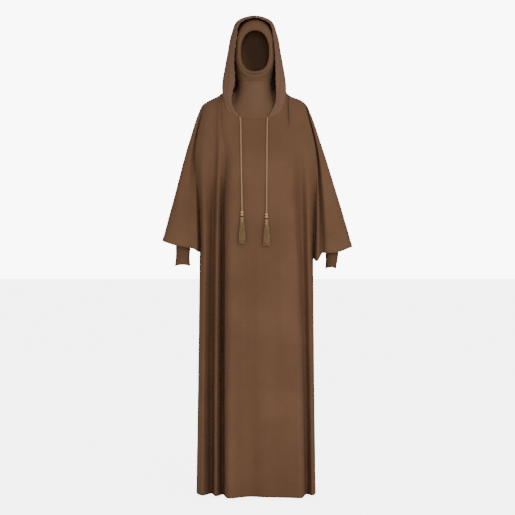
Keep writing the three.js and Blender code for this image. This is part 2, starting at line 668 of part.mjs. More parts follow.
// Cuffs: fitted tubes that are sewn inside the wide sleeves and show under their hems. The last section is
// the seat, whose depth comes from the sleeve's own walls.
const CUFF_SECTIONS = {
  left: [
    { x: -252, y: -25, z: -609, halfX: 27, halfY: 20 },
    { x: -251.5, y: -25, z: -594, halfX: 25, halfY: 19 },
    { x: -251, y: -25, z: -574, halfX: 24, halfY: 19 },
    { x: -250, y: -24, z: -548, halfX: 25, halfY: 21 },
    { x: -250, y: -22, z: -512, halfX: 27, halfY: 27 },
    { x: -251, y: -19, z: -480, halfX: 30, halfY: 35 },
    { x: -252, y: -17, z: -455, halfX: 33, halfY: 0 },
  ],
  right: [
    { x: 267, y: -25, z: -618, halfX: 18.7, halfY: 20 },
    { x: 269, y: -25, z: -602, halfX: 19.5, halfY: 19.5 },
    { x: 271, y: -25, z: -584, halfX: 20.8, halfY: 20 },
    { x: 272, y: -24, z: -560, halfX: 22.5, halfY: 22 },
    { x: 273, y: -22, z: -524, halfX: 26, halfY: 27 },
    { x: 274, y: -19, z: -490, halfX: 30, halfY: 35 },
    { x: 268, y: -17, z: -462, halfX: 30, halfY: 0 },
  ],
};
const CUFF_POINTS = 20;
const CUFF_ARCH = 4; // the cuff's rim is higher in front and behind than at its sides

// Where a surface stands at a place seen from the front
function surfaceY(surface, x, z) {
  for (const [a, b, c] of surface.faces) {
    const [p, q, r] = [a, b, c].map((i) => surface.points[i]);
    const area = (q.x - p.x) * (r.z - p.z) - (r.x - p.x) * (q.z - p.z);
    const s = ((q.x - x) * (r.z - z) - (r.x - x) * (q.z - z)) / area;
    const t = ((r.x - x) * (p.z - z) - (p.x - x) * (r.z - z)) / area;
    if (s >= 0 && t >= 0 && s + t <= 1) return s * p.y + t * q.y + (1 - s - t) * r.y;
  }
  throw new Error(`no cloth at ${x}, ${z}`);
}

function cuffGrid(side, inFront, behind) {
  const sections = CUFF_SECTIONS[side].map((section) => ({ ...section }));
  const seat = sections.at(-1);
  const [near, far] = [surfaceY(inFront, seat.x, seat.z), surfaceY(behind, seat.x, seat.z)];
  seat.y = (near + far) / 2;
  seat.halfY = (far - near) / 2 - LAP;
  return sections.reverse().map((section, row) =>
    count(CUFF_POINTS).map((i) => {
      const a = (i / CUFF_POINTS) * 4 * QUARTER;
      const arch = row === sections.length - 1 ? CUFF_ARCH * Math.sin(a) ** 2 : 0;
      const [x, y] = [section.halfX * Math.cos(a), section.halfY * Math.sin(a)];
      return vec(section.x + x, section.y + y, section.z + arch);
    })
  );
}

// Hood casing: the channel along the hood's edge that holds the drawstring. It lies on the hood's own points
// and puckers, so every second row of its outer face stands higher.
const CASING_COLUMNS = 3;
const CASING_START = 0.15; // rows over the neckline
const CASING_END = 0.01; // rows short of the crown seam
const PUCKER = 1.8;
const CASING_EASE = 0.35; // room for the twist of the hood's faces
const CASING_ROLL = [0, 1.2, 0]; // the channel is fuller along its middle
function casing(grid, surface, surfaceNormals, flipped) {
  const places = [CASING_START, ...evenPlaces(2 * HOOD_ROWS, HOOD_ROWS).slice(1, -1), HOOD_ROWS - CASING_END];
  const strip = [];
  const stripNormals = [];
  for (const place of places) {
    const row = Math.min(HOOD_ROWS - 1, Math.floor(place));
    const share = place - row;
    const between = (list, c) => list(grid[row][c]).clone().lerp(list(grid[row + 1][c]), share);
    strip.push(count(CASING_COLUMNS).map((c) => between((p) => p, c)));
    const normalOf = (p) => surfaceNormals[surface.add(p)];
    stripNormals.push(...count(CASING_COLUMNS).map((c) => between(normalOf, c)));
  }
  const cloth = new Surface().addGrid(strip, { flipped });
  const low = CLOTH / 2 + SEAM + CASING_EASE;
  const pucker = (i) => (Math.floor(i / CASING_COLUMNS) % 2) * PUCKER;
  const high = (i) => low + CLOTH + pucker(i) + CASING_ROLL[i % CASING_COLUMNS];
  return wall(cloth, stripNormals, cloth.points, high, low);
}

// Drawstring ends: each hangs from the lower end of its casing in front of the chest
const CORD_ROUTES = {
  left: [
    [-49.6, -97, -92.8],
    [-48.9, -98.8, -99],
    [-48.2, -102, -106.5],
    [-47.5, -106.6, -116.5],
    [-47, -113, -130],
    [-46.7, -120.2, -145],
    [-46.4, -128, -161],
    [-46.1, -136.8, -180],
    [-45.6, -145, -205],
    [-45.2, -148.8, -238],
    [-44.7, -150.7, -273],
    [-44.2, -150.9, -308],
    [-43.6, -151, -343],
    [-43, -151.4, -381],
    [-42.3, -152.2, -419],
  ],
  right: [
    [45.6, -98, -94.2],
    [45.2, -99.6, -101],
    [44.8, -102.6, -108],
    [44.5, -107, -118],
    [44.2, -113.2, -131],
    [43.9, -120.2, -146],
    [43.7, -127.6, -162],
    [43.5, -137, -181],
    [43.2, -146, -207],
    [42.9, -149.6, -241],
    [42.6, -151.3, -276],
    [42.4, -151.5, -311],
    [42.2, -151.6, -346],
    [42, -152.2, -387],
    [41.7, -153, -426.5],
  ],
};
const CORD_STEPS = 26;
function cordTube(route) {
  const path = new THREE.CatmullRomCurve3(route.map(([x, y, z]) => vec(x, y, z)));
  const section = new THREE.Shape();
  for (const k of count(CORD_SIDES)) {
    const a = ((k + 0.5) / CORD_SIDES) * 4 * QUARTER;
    const corner = [CORD_RADIUS * Math.cos(a), CORD_RADIUS * Math.sin(a)];
    if (k === 0) section.moveTo(...corner);
    else section.lineTo(...corner);
  }
  section.closePath();
  const settings = { steps: CORD_STEPS, bevelEnabled: false, extrudePath: path };
  return cleaned(new THREE.ExtrudeGeometry(section, settings));
}

// Turned bodies: half sections with height over the piece's foot
const BALL_RADIUS = 5;
const COLLAR = { height: 6, profile: [[0, 0], [4.2, 0], [5.5, 1.2], [5.5, 4.6], [4.2, 6], [0, 6]] };
const RING = { height: 3.3, profile: [[0, 0], [3.3, 0], [3.9, 1.1], [3.9, 2.2], [3.3, 3.3], [0, 3.3]] };
const TASSEL_HEAD = {
  height: 20,
  profile: [[0, 0], [6.1, 0], [6.2, 5], [4.6, 7.5], [5.8, 10.5], [6, 14], [4.6, 18], [2.6, 20], [0, 20]],
};
const TURN_STEPS = 12;
function turned(profile) {
  const section = profile.map(([radius, height]) => new THREE.Vector2(radius, height));
  return cleaned(new THREE.LatheGeometry(section, TURN_STEPS).rotateX(QUARTER));
}

// Tassels: strands that stand apart, with their roots fused into the head
const STRANDS = 34;
const STRAND = {
  length: 72,
  unevenness: 3.5,
  rootRadius: 0.55,
  tipRadius: 0.95,
  rootSpread: 5.0,
  tipSpread: 12.5,
  flat: 0.78,
  lean: -4,
  rootDepth: 3,
};
const STRAND_SIDES = 3;
const GOLDEN_TURN = Math.PI * (3 - Math.sqrt(5)); // from one strand to the next, spreads them evenly
const STRAND_ROWS = [0, 0.3, 0.65, 1];
function strand(i) {
  const spread = Math.sqrt((i + 0.5) / STRANDS);
  const angle = i * GOLDEN_TURN;
  const length = STRAND.length + STRAND.unevenness * Math.sin(i * i);
  const rows = STRAND_ROWS.map((share) => {
    const out = mix(STRAND.rootSpread, STRAND.tipSpread, Math.sqrt(share)) * spread;
    const centreY = STRAND.lean * share;
    const radius = mix(STRAND.rootRadius, STRAND.tipRadius, share);
    const squash = mix(1, STRAND.flat, share);
    return count(STRAND_SIDES).map((k) => {
      const a = (k / STRAND_SIDES) * 4 * QUARTER + i;
      const x = out * Math.cos(angle) + radius * Math.cos(a);
      const y = centreY + out * squash * Math.sin(angle) + radius * Math.sin(a);
      return vec(x, y, STRAND.rootDepth - length * share);
    });
  });
  const surface = new Surface().addGrid(rows, { closed: true });
  const [top, bottom] = [rows[0], rows.at(-1)].map((row) => row.map((p) => surface.add(p)));
  surface.triangle(top[0], top[1], top[2]);
  surface.triangle(bottom[0], bottom[2], bottom[1]);
  return surface.geometry();
}

const wasm = await Module();
wasm.setup();
function toSolid(geometry) {
  const position = geometry.getAttribute("position");
  const vertProperties = new Float32Array(position.array);
  const triVerts = new Uint32Array(geometry.index.array);
  return new wasm.Manifold(new wasm.Mesh({ numProp: 3, vertProperties, triVerts }));
}
function fromSolid(solid) {
  const { vertProperties, triVerts } = solid.getMesh();
  const geometry = new THREE.BufferGeometry();
  geometry.setAttribute("position", new THREE.BufferAttribute(new Float32Array(vertProperties), 3));
  geometry.setIndex([...triVerts]);
  return geometry;
}
function tassel() {
  let solid = toSolid(turned(TASSEL_HEAD.profile));
  for (const i of count(STRANDS)) solid = solid.add(toSolid(strand(i)));
  return fromSolid(solid);
}

// Assembly
const front = panelGrids(true);
const back = panelGrids(false);
const hood = {
  left: hoodGrid("left", hoodFoot("left", front.upper[0], back.upper[0])),
  right: hoodGrid("right", hoodFoot("right", front.upper[0], back.upper[0])),
};
const cloths = {
  front_panel: bodySurface(front, true),
  back_panel: bodySurface(back, false),
  front_sleeve_left: sleeveSurface(front, "left", true),
  front_sleeve_right: sleeveSurface(front, "right", true),
  back_sleeve_left: sleeveSurface(back, "left", false),
  back_sleeve_right: sleeveSurface(back, "right", false),
  hood_left_half: new Surface().addGrid(hood.left),
  hood_right_half: new Surface().addGrid(hood.right, { flipped: true }),
  inner_hood: new Surface().addGrid(innerGrid, { closed: true }),
  inner_neck: new Surface().addGrid(neckGrid, { closed: true }),
};
for (const side of ["left", "right"]) {
  const grid = cuffGrid(side, cloths[`front_sleeve_${side}`], cloths[`back_sleeve_${side}`]);
  cloths[`cuff_${side}`] = new Surface().addGrid(grid, { closed: true });
}
const clothNames = Object.keys(cloths);
const clothNormals = {};
sharedNormals(Object.values(cloths)).forEach((list, i) => {
  clothNormals[clothNames[i]] = list;
});
for (const name of clothNames) {
  const others = clothNames.filter((other) => other !== name).map((other) => cloths[other]);
  const share = name.includes("sleeve") ? SEAM_SHARE.sleeve : SEAM_SHARE.usual;
  const points = openSeams(cloths[name], others, share);
  const material = name.startsWith("cuff") ? cuffCloth() : crepe();
  addPiece(name, wall(cloths[name], clothNormals[name], points), material);
}
for (const side of ["left", "right"]) {
  const half = `hood_${side}_half`;
  const channel = casing(hood[side], cloths[half], clothNormals[half], side === "right");
  addPiece(`hood_casing_${side}`, channel, crepe());
}
addPiece("face_binding", bindingRing(), crepe());

for (const side of ["left", "right"]) {
  const route = CORD_ROUTES[side];
  const [x, y, endZ] = route.at(-1);
  addPiece(`drawstring_${side}`, cordTube(route), braid());
  let z = endZ - SEAM - 2 * BALL_RADIUS;
  const ball = cleaned(new THREE.SphereGeometry(BALL_RADIUS, 12, 8).rotateX(QUARTER));
  addPiece(`ball_bead_${side}`, ball, beadWood()).position.set(x, y, z + BALL_RADIUS);
  z -= SEAM + COLLAR.height;
  addPiece(`collar_bead_${side}`, turned(COLLAR.profile), beadWood()).position.set(x, y, z);
  z -= SEAM + RING.height;
  addPiece(`dark_ring_${side}`, turned(RING.profile), darkRing()).position.set(x, y, z);
  z -= SEAM + TASSEL_HEAD.height;
  addPiece(`tassel_${side}`, tassel(), tasselThread()).position.set(x, y, z);
}

export default garment;
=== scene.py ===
# Looks of the hooded batwing abaya. Sizes in the tables are millimetres, in the same frame as the solids:
# the origin is midway between the side neck points, +Z is up, the front faces -Y, and left is -X.
import math

import bpy
import numpy as np
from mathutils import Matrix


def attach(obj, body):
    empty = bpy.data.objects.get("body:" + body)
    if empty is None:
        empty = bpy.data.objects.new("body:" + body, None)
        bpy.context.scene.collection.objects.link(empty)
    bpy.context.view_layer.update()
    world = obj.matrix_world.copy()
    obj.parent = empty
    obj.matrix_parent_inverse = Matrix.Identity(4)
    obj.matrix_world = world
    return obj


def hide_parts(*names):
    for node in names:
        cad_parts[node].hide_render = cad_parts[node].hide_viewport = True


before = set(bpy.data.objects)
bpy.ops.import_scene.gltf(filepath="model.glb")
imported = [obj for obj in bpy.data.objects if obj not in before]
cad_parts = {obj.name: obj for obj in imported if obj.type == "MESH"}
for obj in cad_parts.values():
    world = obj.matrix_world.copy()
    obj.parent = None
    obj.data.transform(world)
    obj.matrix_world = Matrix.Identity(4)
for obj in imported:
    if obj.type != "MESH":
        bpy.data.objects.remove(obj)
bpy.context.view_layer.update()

# Driving dimensions
MM = 0.001
CLOTH = 2.0
SHELL = 1.5  # thickness of the visible cloth
LAP = CLOTH + 0.3
NECK_HALF_WIDTH = 112.5
SHOULDER_Y = 6
UNDERARM = {"left_x": -192, "left_z": -561, "right_x": 206, "right_z": -580}
HEIGHTS = {"chest": -210, "waist": -390, "knee": -1000, "hem": -1406}
STATIONS = ("chest", "waist", "hip", "knee", "hem")
FINER = 3  # columns of faces for each column of the solids
UPPER_ROWS = 90
LOWER_ROWS = 100
HOOD_ROWS = 72
LOOP_POINTS = 112
CORD_DIAMETER = 5.4
CAMERA = {"x": 10.8, "z": -579, "distance": 6000, "width": 1813, "sensor": 36}


# Camera
def make_camera():
    data = bpy.data.cameras.new("camera")
    data.sensor_width = CAMERA["sensor"]
    data.lens = CAMERA["sensor"] * CAMERA["distance"] / CAMERA["width"]
    data.clip_end = 100
    camera = bpy.data.objects.new("camera", data)
    camera.location = (CAMERA["x"] * MM, -CAMERA["distance"] * MM, CAMERA["z"] * MM)
    camera.rotation_euler = (math.radians(90), 0, 0)
    bpy.context.collection.objects.link(camera)
    bpy.context.scene.camera = camera


make_camera()


# Small helpers
def vec(x, y, z):
    return np.array([x, y, z], float)


def mix(a, b, t):
    return a + (b - a) * t


def beyond(near, far):
    return 2 * near - far


def smooth(t):
    t = np.clip(t, 0, 1)
    return t * t * (3 - 2 * t)


def steered(points):
    """A smooth curve through points or whole rows of them. The first and last only steer it."""
    points = np.asarray(points, float)
    spans = len(points) - 3

    def at(u):
        u = min(max(u, 0), spans)
        i = min(int(u), spans - 1)
        t = u - i
        p0, p1, p2, p3 = points[i : i + 4]
        pairs = ((p0, p1), (p1, p2), (p2, p3))
        d0, d1, d2 = (np.sqrt(np.linalg.norm(b - a, axis=-1, keepdims=True)) for a, b in pairs)
        d1 = np.where(d1 < 1e-4, 1, d1)
        d0 = np.where(d0 < 1e-4, d1, d0)
        d2 = np.where(d2 < 1e-4, d1, d2)
        t1 = ((p1 - p0) / d0 - (p2 - p0) / (d0 + d1) + (p2 - p1) / d1) * d1
        t2 = ((p2 - p1) / d1 - (p3 - p1) / (d1 + d2) + (p3 - p2) / d2) * d1
        bend = -3 * p1 + 3 * p2 - 2 * t1 - t2
        return p1 + t1 * t + bend * t**2 + (2 * p1 - 2 * p2 + t1 + t2) * t**3

    return at


def open_curve(points):
    points = np.asarray(points, float)
    return steered([beyond(points[0], points[1]), *points, beyond(points[-1], points[-2])])


def places_between(steps):
    places = [0]
    for i, number in enumerate(steps):
        places += [i + (k + 1) / number for k in range(number)]
    return places


def unevenly(t, waves):
    """A sum of waves: (wavelength, phase, share) rows"""
    return sum(share * np.sin(2 * math.pi * t / length + phase) for length, phase, share in waves)


def full_turn(steps):
    return np.arange(steps) / steps * 2 * math.pi


def circle(turns, first, second):
    """Points about the origin, in the plane of two sides"""
    return np.outer(np.cos(turns), first) + np.outer(np.sin(turns), second)


def path_lengths(points):
    return np.concatenate([[0], np.cumsum(np.linalg.norm(np.diff(points, axis=0), axis=1))])


# Body outline: the fold over each arm
OVERARM = {
    "left": [
        (-112.5, 0), (-130, -12), (-156.5, -25), (-181, -41), (-192.5, -62), (-206.5, -96),
        (-227.5, -166), (-248, -237), (-266, -307), (-284, -378), (-305, -448), (-322, -519),
    ],
    "right": [
        (112.5, 0), (127, -11), (162.5, -25), (180.5, -39), (191.5, -60), (207.5, -95),
        (229.5, -165), (252.5, -236), (272.5, -306), (295.5, -377), (316.5, -447), (343.5, -542),
    ],
}
SLEEVE_TOP_ROW = 4
FOLD_CREST = 0.6

# Sleeve fold lines: share of the way to the body, share of the half depth, and x and z at the hem
SLEEVE_LINES = {
    "left": [
        (0, 0, -322, -519), (0.1, 0.72, -311, -526), (0.36, 1.0, -276, -537),
        (0.62, 1.02, -239, -544), (0.84, 0.8, -213, -549), (0.93, 0.86, -201, -556),
    ],
    "right": [
        (0, 0, 343.5, -542), (0.1, 0.72, 329, -547), (0.36, 1.05, 294, -560),
        (0.66, 1.12, 251, -564), (0.79, 0.55, 237, -564), (0.91, 0.95, 219, -592),
    ],
}
SLEEVE_STEPS = [3, 2, 2, 1, 2, 1]
SLEEVE_MIDDLE_Y = {"chest": 0, "waist": -12, "hip": -22}
SLEEVE_HALF_DEPTH = {"chest": 47, "waist": 47, "hip": 43}

# Body fold lines: x at the top edge, then x and y at the chest, waist, hip, knee and hem
FRONT_LINES = [
    (-172, (-206, -54), (-197, -36), (-192, -10), (-198, 4), (-204, 8)),
    (-156, (-178, -86), (-176, -80), (-173, -66), (-177, -74), (-180, -82)),
    (-139, (-136, -94), (-143, -60), (-146, -42), (-150, -36), (-151, -34)),
    (-122, (-122, -112), (-127, -108), (-129, -101), (-132, -100), (-133, -100)),
    (-112.5, (-114, -112), (-119, -97), (-120, -86), (-122, -80), (-122, -80)),
    (-108, (-104, -112), (-110, -80), (-109, -64), (-110, -56), (-110, -56)),
    (-80, (-78, -134), (-86, -141), (-87, -143), (-87, -148), (-86, -154)),
    (-51, (-38, -142), (-34, -144), (-31, -140), (-24, -128), (-16, -110)),
    (-2, (7, -144), (12, -148), (18, -147), (26, -140), (33, -124)),
    (46, (54, -140), (60, -142), (64, -139), (73, -134), (80, -132)),
    (104, (108, -128), (113, -134), (120, -134), (129, -138), (134, -142)),
    (112.5, (121, -121), (128, -128), (136, -128), (147, -137), (152, -147)),
    (122, (129, -115), (136, -122), (145, -122), (156, -133), (161, -146)),
    (139, (156, -90), (164, -66), (169, -52), (177, -50), (183, -48)),
    (156, (180, -82), (186, -76), (189, -66), (196, -68), (201, -76)),
    (172, (213, -54), (213, -36), (206, -10), (210, 4), (215, 8)),
]
FRONT_STEPS = [3, 3, 3, 1, 3, 3, 3, 3, 3, 5, 4, 1, 3, 3, 3]
BACK_LINES = [
    (-172, (-204, 60), (-197, 34), (-192, -10), (-198, 4), (-204, 8)),
    (-156, (-172, 88), (-172, 76), (-171, 62), (-174, 76), (-179, 90)),
    (-139, (-138, 98), (-141, 66), (-142, 42), (-144, 44), (-146, 48)),
    (-122, (-116, 111), (-118, 103), (-118, 97), (-119, 104), (-120, 114)),
    (-112.5, (-102, 114), (-104, 108), (-104, 103), (-105, 111), (-106, 121)),
    (-58, (-52, 116), (-53, 96), (-54, 84), (-55, 84), (-56, 88)),
    (0, (2, 118), (3, 122), (4, 122), (4, 130), (5, 142)),
    (58, (58, 116), (60, 94), (62, 82), (64, 82), (66, 86)),
    (112.5, (107, 114), (110, 109), (113, 105), (115, 113), (118, 123)),
    (122, (121, 111), (125, 104), (127, 99), (130, 106), (133, 116)),
    (139, (146, 98), (150, 66), (152, 44), (155, 46), (158, 50)),
    (156, (178, 88), (182, 76), (184, 62), (189, 76), (194, 90)),
    (172, (211, 60), (213, 34), (206, -10), (210, 4), (215, 8)),
]
BACK_STEPS = [3, 3, 3, 1, 3, 3, 3, 3, 1, 3, 3, 3]

# Neckline, from a side neck point to the centre
NECKLINE_FRONT = [
    (112.5, 6, 0), (112, -24, -4), (110.8, -39, -13), (109, -53, -28), (104, -65, -48),
    (93, -79, -68), (76, -87, -83), (51, -92.5, -97), (0, -96, -104),
]
NECKLINE_BACK = [(112.5, 6, 0), (109, 30, 0.5), (95, 55, 3), (66, 72, 6), (34, 78.5, 7.5), (0, 80, 8)]
FINE = 400


def measured(table):
    points = np.array(table, float)
    over_centre = points[-2] * (-1, 1, 1)
    curve = steered([beyond(points[0], points[1]), *points, over_centre])
    points = np.array([curve(i / FINE * (len(table) - 1)) for i in range(FINE + 1)])
    return points, path_lengths(points)


NECKLINE = {True: measured(NECKLINE_FRONT), False: measured(NECKLINE_BACK)}


def neckline_point(share, side, is_front):
    points, lengths = NECKLINE[is_front]
    wanted = min(max(share, 0), 1) * lengths[-1]
    p = vec(*(np.interp(wanted, lengths, points[:, k]) for k in range(3)))
    return p * (side, 1, 1)


def share_at_x(x, is_front):
    points, lengths = NECKLINE[is_front]
    return np.interp(-abs(x), -points[:, 0], lengths) / lengths[-1]


OVERARM_CURVE = {
    side: open_curve([(x, SHOULDER_Y, z) for x, z in rows]) for side, rows in OVERARM.items()
}


def overarm_where(side, passed):
    low, high = 0, len(OVERARM[side]) - 1
    for _ in range(30):
        middle = (low + high) / 2
        if passed(OVERARM_CURVE[side](middle)):
            high = middle
        else:
            low = middle
    return OVERARM_CURVE[side](low)


def seam_at_x(side, x):
    return overarm_where(side, lambda p: abs(p[0]) > abs(x))


def seam_at_z(side, z):
    return overarm_where(side, lambda p: p[2] < z)


def top_edge(lines, u, is_front):
    i = min(len(lines) - 2, int(u))
    start, end, share = lines[i][0], lines[i + 1][0], u - i
    if max(abs(start), abs(end)) > NECK_HALF_WIDTH:
        return seam_at_x("left" if start + end < 0 else "right", mix(start, end, share))

    def from_centre(x):
        return math.copysign(1 - share_at_x(x, is_front), x)

    place = mix(from_centre(start), from_centre(end), share)
    return neckline_point(1 - abs(place), -1 if place < 0 else 1, is_front)


def station_z(name, x):
    if name != "hip":
        return HEIGHTS[name]
    u = UNDERARM
    share = min(max((x - u["left_x"]) / (u["right_x"] - u["left_x"]), 0), 1)
    return mix(u["left_z"], u["right_z"], share)


def station_point(line, name):
    x, y = line[1 + STATIONS.index(name)]
    return vec(x, y, station_z(name, x))


def sleeve_point(side, is_front, line, name):
    across, depth, hem_x, hem_z = line
    y = SLEEVE_MIDDLE_Y[name] + (-1 if is_front else 1) * SLEEVE_HALF_DEPTH[name] * depth
    if name == "hip":
        return vec(hem_x, y, hem_z)
    lines = FRONT_LINES if is_front else BACK_LINES
    body = station_point(lines[0] if side == "left" else lines[-1], name)
    return vec(mix(seam_at_z(side, HEIGHTS[name])[0], body[0], across), y, HEIGHTS[name])


FLARE = {"most": 10, "from": 70, "over": 35}
CREST = {"x": 0.2, "shoulder": (0.56, 0.18), "neck": (0.3, 0.28), "depth": 80, "back": -0.9, "rise": 4}


def columns_above(top, chest, waist, hip, after):
    """Columns of cloth from the top edge over the shoulder or chest to the underarm's height"""
    from_centre = np.abs(top[:, 0])
    at_neck = from_centre < NECK_HALF_WIDTH - 1e-6
    flare = FLARE["most"] * np.clip((from_centre - FLARE["from"]) / FLARE["over"], 0, 1)
    flare[from_centre > NECK_HALF_WIDTH] = 0
    in_front = np.clip((SHOULDER_Y - top[:, 1]) / CREST["depth"], 0, 1)
    share_y = mix(CREST["shoulder"][0], CREST["neck"][0], in_front)
    share_z = mix(CREST["shoulder"][1], CREST["neck"][1], in_front)
    crest = np.column_stack([
        mix(top[:, 0], chest[:, 0], CREST["x"]) + np.sign(top[:, 0]) * flare,
        mix(top[:, 1], chest[:, 1], share_y),
        mix(top[:, 2], chest[:, 2], share_z),
    ])
    rise = crest[:, 2] - CREST["rise"]
    before = np.column_stack([top[:, 0], mix(top[:, 1], crest[:, 1], CREST["back"]), rise])
    before[at_neck] = mix(top, crest, CREST["back"])[at_neck]
    return steered([before, top, crest, chest, waist, hip, after])


UPPER_PLACES = [4 * (r / UPPER_ROWS) ** 1.15 for r in range(UPPER_ROWS + 1)]


def panel_grids(is_front):
    lines, others = (FRONT_LINES, BACK_LINES) if is_front else (BACK_LINES, FRONT_LINES)
    steps = FRONT_STEPS if is_front else BACK_STEPS
    places = places_between([n * FINER for n in steps])
    rows = {}
    for name in STATIONS:
        points = [station_point(line, name) for line in lines]
        if name in ("chest", "waist"):
            ends = [sleeve_point(side, is_front, SLEEVE_LINES[side][-1], name) for side in ("left", "right")]
        else:
            ends = [station_point(others[1], name), station_point(others[-2], name)]
        curve = steered([ends[0], *points, ends[1]])
        rows[name] = np.array([curve(u) for u in places])
    top = np.array([top_edge(lines, u, is_front) for u in places])
    chest, waist, hip, knee, hem = (rows[name] for name in STATIONS)
    above = columns_above(top, chest, waist, hip, mix(hip, knee, 0.5))
    below = steered([beyond(hip, knee), hip, knee, hem, beyond(hem, knee)])
    upper = np.array([above(place) for place in UPPER_PLACES])
    lower = np.array([below(2 * r / LOWER_ROWS) for r in range(LOWER_ROWS + 1)])
    lower[0] = upper[-1]
    grids = {"upper": upper, "lower": lower}
    for side in ("left", "right"):
        grids[side] = sleeve_grid(side, is_front, upper)
    return grids


def sleeve_grid(side, is_front, upper):
    lines = SLEEVE_LINES[side]
    body_lines = FRONT_LINES if is_front else BACK_LINES
    body, inner = (body_lines[0], body_lines[1]) if side == "left" else (body_lines[-1], body_lines[-2])
    body_column = upper[:, 0] if side == "left" else upper[:, -1]
    places = places_between([n * FINER for n in SLEEVE_STEPS])[:-1]
    rows = []
    for name in ("chest", "waist", "hip"):
        opposite = sleeve_point(side, not is_front, lines[1], name)
        points = [sleeve_point(side, is_front, line, name) for line in lines]
        curve = steered([opposite, *points, station_point(body, name), station_point(inner, name)])
        rows.append(np.array([curve(u) for u in places]))
    chest, waist, hip = rows
    outermost = OVERARM_CURVE[side](SLEEVE_TOP_ROW)
    top = [seam_at_x(side, mix(outermost[0], body_column[0][0], u / len(lines))) for u in places]
    top = np.array(top)
    above = columns_above(top, chest, waist, hip, beyond(hip, waist))
    before, after = (OVERARM_CURVE[side](SLEEVE_TOP_ROW + rows) for rows in (-1, FOLD_CREST))
    c, w, h = chest[0], waist[0], hip[0]
    on_fold = steered([before, top[0], after, c, w, h, beyond(h, w)])
    grid = []
    for r, place in enumerate(UPPER_PLACES):
        row = above(place)
        row[0] = on_fold(place)
        grid.append([*row, body_column[r]])
    return np.array(grid)


# Outer hood ribs: y and z at the crown, bow backwards, and half widths at five heights
RIB_HEIGHTS = [0.17, 0.37, 0.57, 0.79, 0.94]
HOOD_RIBS = {
    "left": [
        (-47, 260, 6, (81, 70, 72.5, 64, 53)), (-8, 271, 4, (99, 97, 92, 80, 62)),
        (32, 275, 2, (112.5, 104, 94, 80, 55)), (72, 262, 8, (105, 98, 88, 70, 46)),
        (106, 226, 18, (72, 68, 60, 45, 25)), (118, 186, 19, (0, 0, 0, 0, 0)),
    ],
    "right": [
        (-47, 260, 6, (75, 76, 74.5, 68, 55)), (-8, 271, 4, (89, 94, 91, 79, 61)),
        (32, 275, 2, (109.5, 102, 92, 78.5, 53)), (72, 262, 8, (103, 96, 86, 69, 45)),
        (106, 226, 18, (71, 67, 59, 44, 24)), (118, 186, 19, (0, 0, 0, 0, 0)),
    ],
}
HOOD_FOOT_LINES = {"left": (7, 4, 4, 6), "right": (9, 11, 8, 6)}
MIRROR = (-1, 1, 1)


def hood_foot(side, front_top, back_top):
    def stretch(row, steps, start, end):
        i, j = (sum(steps[:line]) * FINER for line in (start, end))
        return row[i : j + 1] if i <= j else row[j : i + 1][::-1]

    front_end, front_side, back_side, back_centre = HOOD_FOOT_LINES[side]
    in_front = stretch(front_top, FRONT_STEPS, front_end, front_side)
    behind = stretch(back_top, BACK_STEPS, back_side, back_centre)
    return np.array([*in_front, *behind[1:]])


def hood_grid(side, foot):
    sign = -1 if side == "left" else 1
    ribs = HOOD_RIBS[side]
    columns = len(foot) - 1
    per_rib = columns // (len(ribs) - 1)
    arches = []
    for i, (crown_y, crown_z, bow, widths) in enumerate(ribs):
        start = foot[i * per_rib]
        arch = []
        for share, width in zip(RIB_HEIGHTS, widths):
            y = mix(start[1], crown_y, share) + bow * math.sin(math.pi * share)
            arch.append(vec(sign * width, y, mix(start[2], crown_z, share)))
        arches.append([*arch, vec(0, crown_y, crown_z)])
    arches = np.array(arches)
    heights = []
    for k in range(arches.shape[1]):
        row = arches[:, k]
        curve = steered([beyond(row[0], row[1]), *row, row[-2] * MIRROR])
        heights.append(np.array([curve(c / per_rib) for c in range(columns + 1)]))
    curve = steered([beyond(foot, heights[0]), foot, *heights, heights[-2] * MIRROR])
    grid = np.array([curve(len(heights) * r / HOOD_ROWS) for r in range(HOOD_ROWS + 1)])
    grid[:, -1, 0] = 0
    return grid


# Inner hood loops: x, chin y and z, crown y and z, half width, and how much wider the jaw is than the brow
INNER_LOOPS = [
    (2.2, -77, 63, -71, 216, 53, 0.08), (2.2, -79, 57.5, -66, 231, 58.5, 0.07),
    (2, -77.5, 52, -50, 246, 62.5, 0.05), (1.8, -74.5, 48, -16, 257, 67, 0.03),
    (1.5, -71.5, 45, 24, 260, 71, 0), (1, -69.5, 42.5, 63, 246, 73, 0),
    (0.5, -68, 41, 92, 208, 72.5, 0), (0, -66.8, 39.8, 103, 156, 70.5, 0),
    (0, -65.8, 38.8, 97, 104, 67, 0), (0, -64.9, 37.9, 81, 66, 63, 0), (0, -64, 37, 66, 42, 60, 0),
]
LOOP_SQUARENESS = 0.05
ROWS_PER_LOOP = 8
TURNS = full_turn(LOOP_POINTS)
JAW_CREASE = {"depth": 13.0, "least": 12.0, "width": 0.42, "start": 0.75, "spread": 1.5, "loops": 4}
JAW_FADE = {"from": 0.35, "over": 0.5}
NECK_ROWS = 40
NECK_CLOSENESS = {"front": 1.1, "side": 2.5, "back": 1.3}
NECK_SAG = 0.28
NECK_TUCK = 3
NECK_MIDDLE_Y = -10


def inner_grid():
    curve = open_curve(INNER_LOOPS)
    rows = []
    for r in range(ROWS_PER_LOOP * (len(INNER_LOOPS) - 1) + 1):
        x, chin_y, chin_z, crown_y, crown_z, half, jaw = curve(r / ROWS_PER_LOOP)
        up = (1 - np.cos(TURNS)) / 2
        out = (np.sin(TURNS) + LOOP_SQUARENESS * np.sin(3 * TURNS)) / (1 - LOOP_SQUARENESS)
        across = x + half * out * (1 + jaw * np.cos(TURNS))
        rows.append(np.column_stack([across, mix(chin_y, crown_y, up), mix(chin_z, crown_z, up)]))
    return np.array(rows)


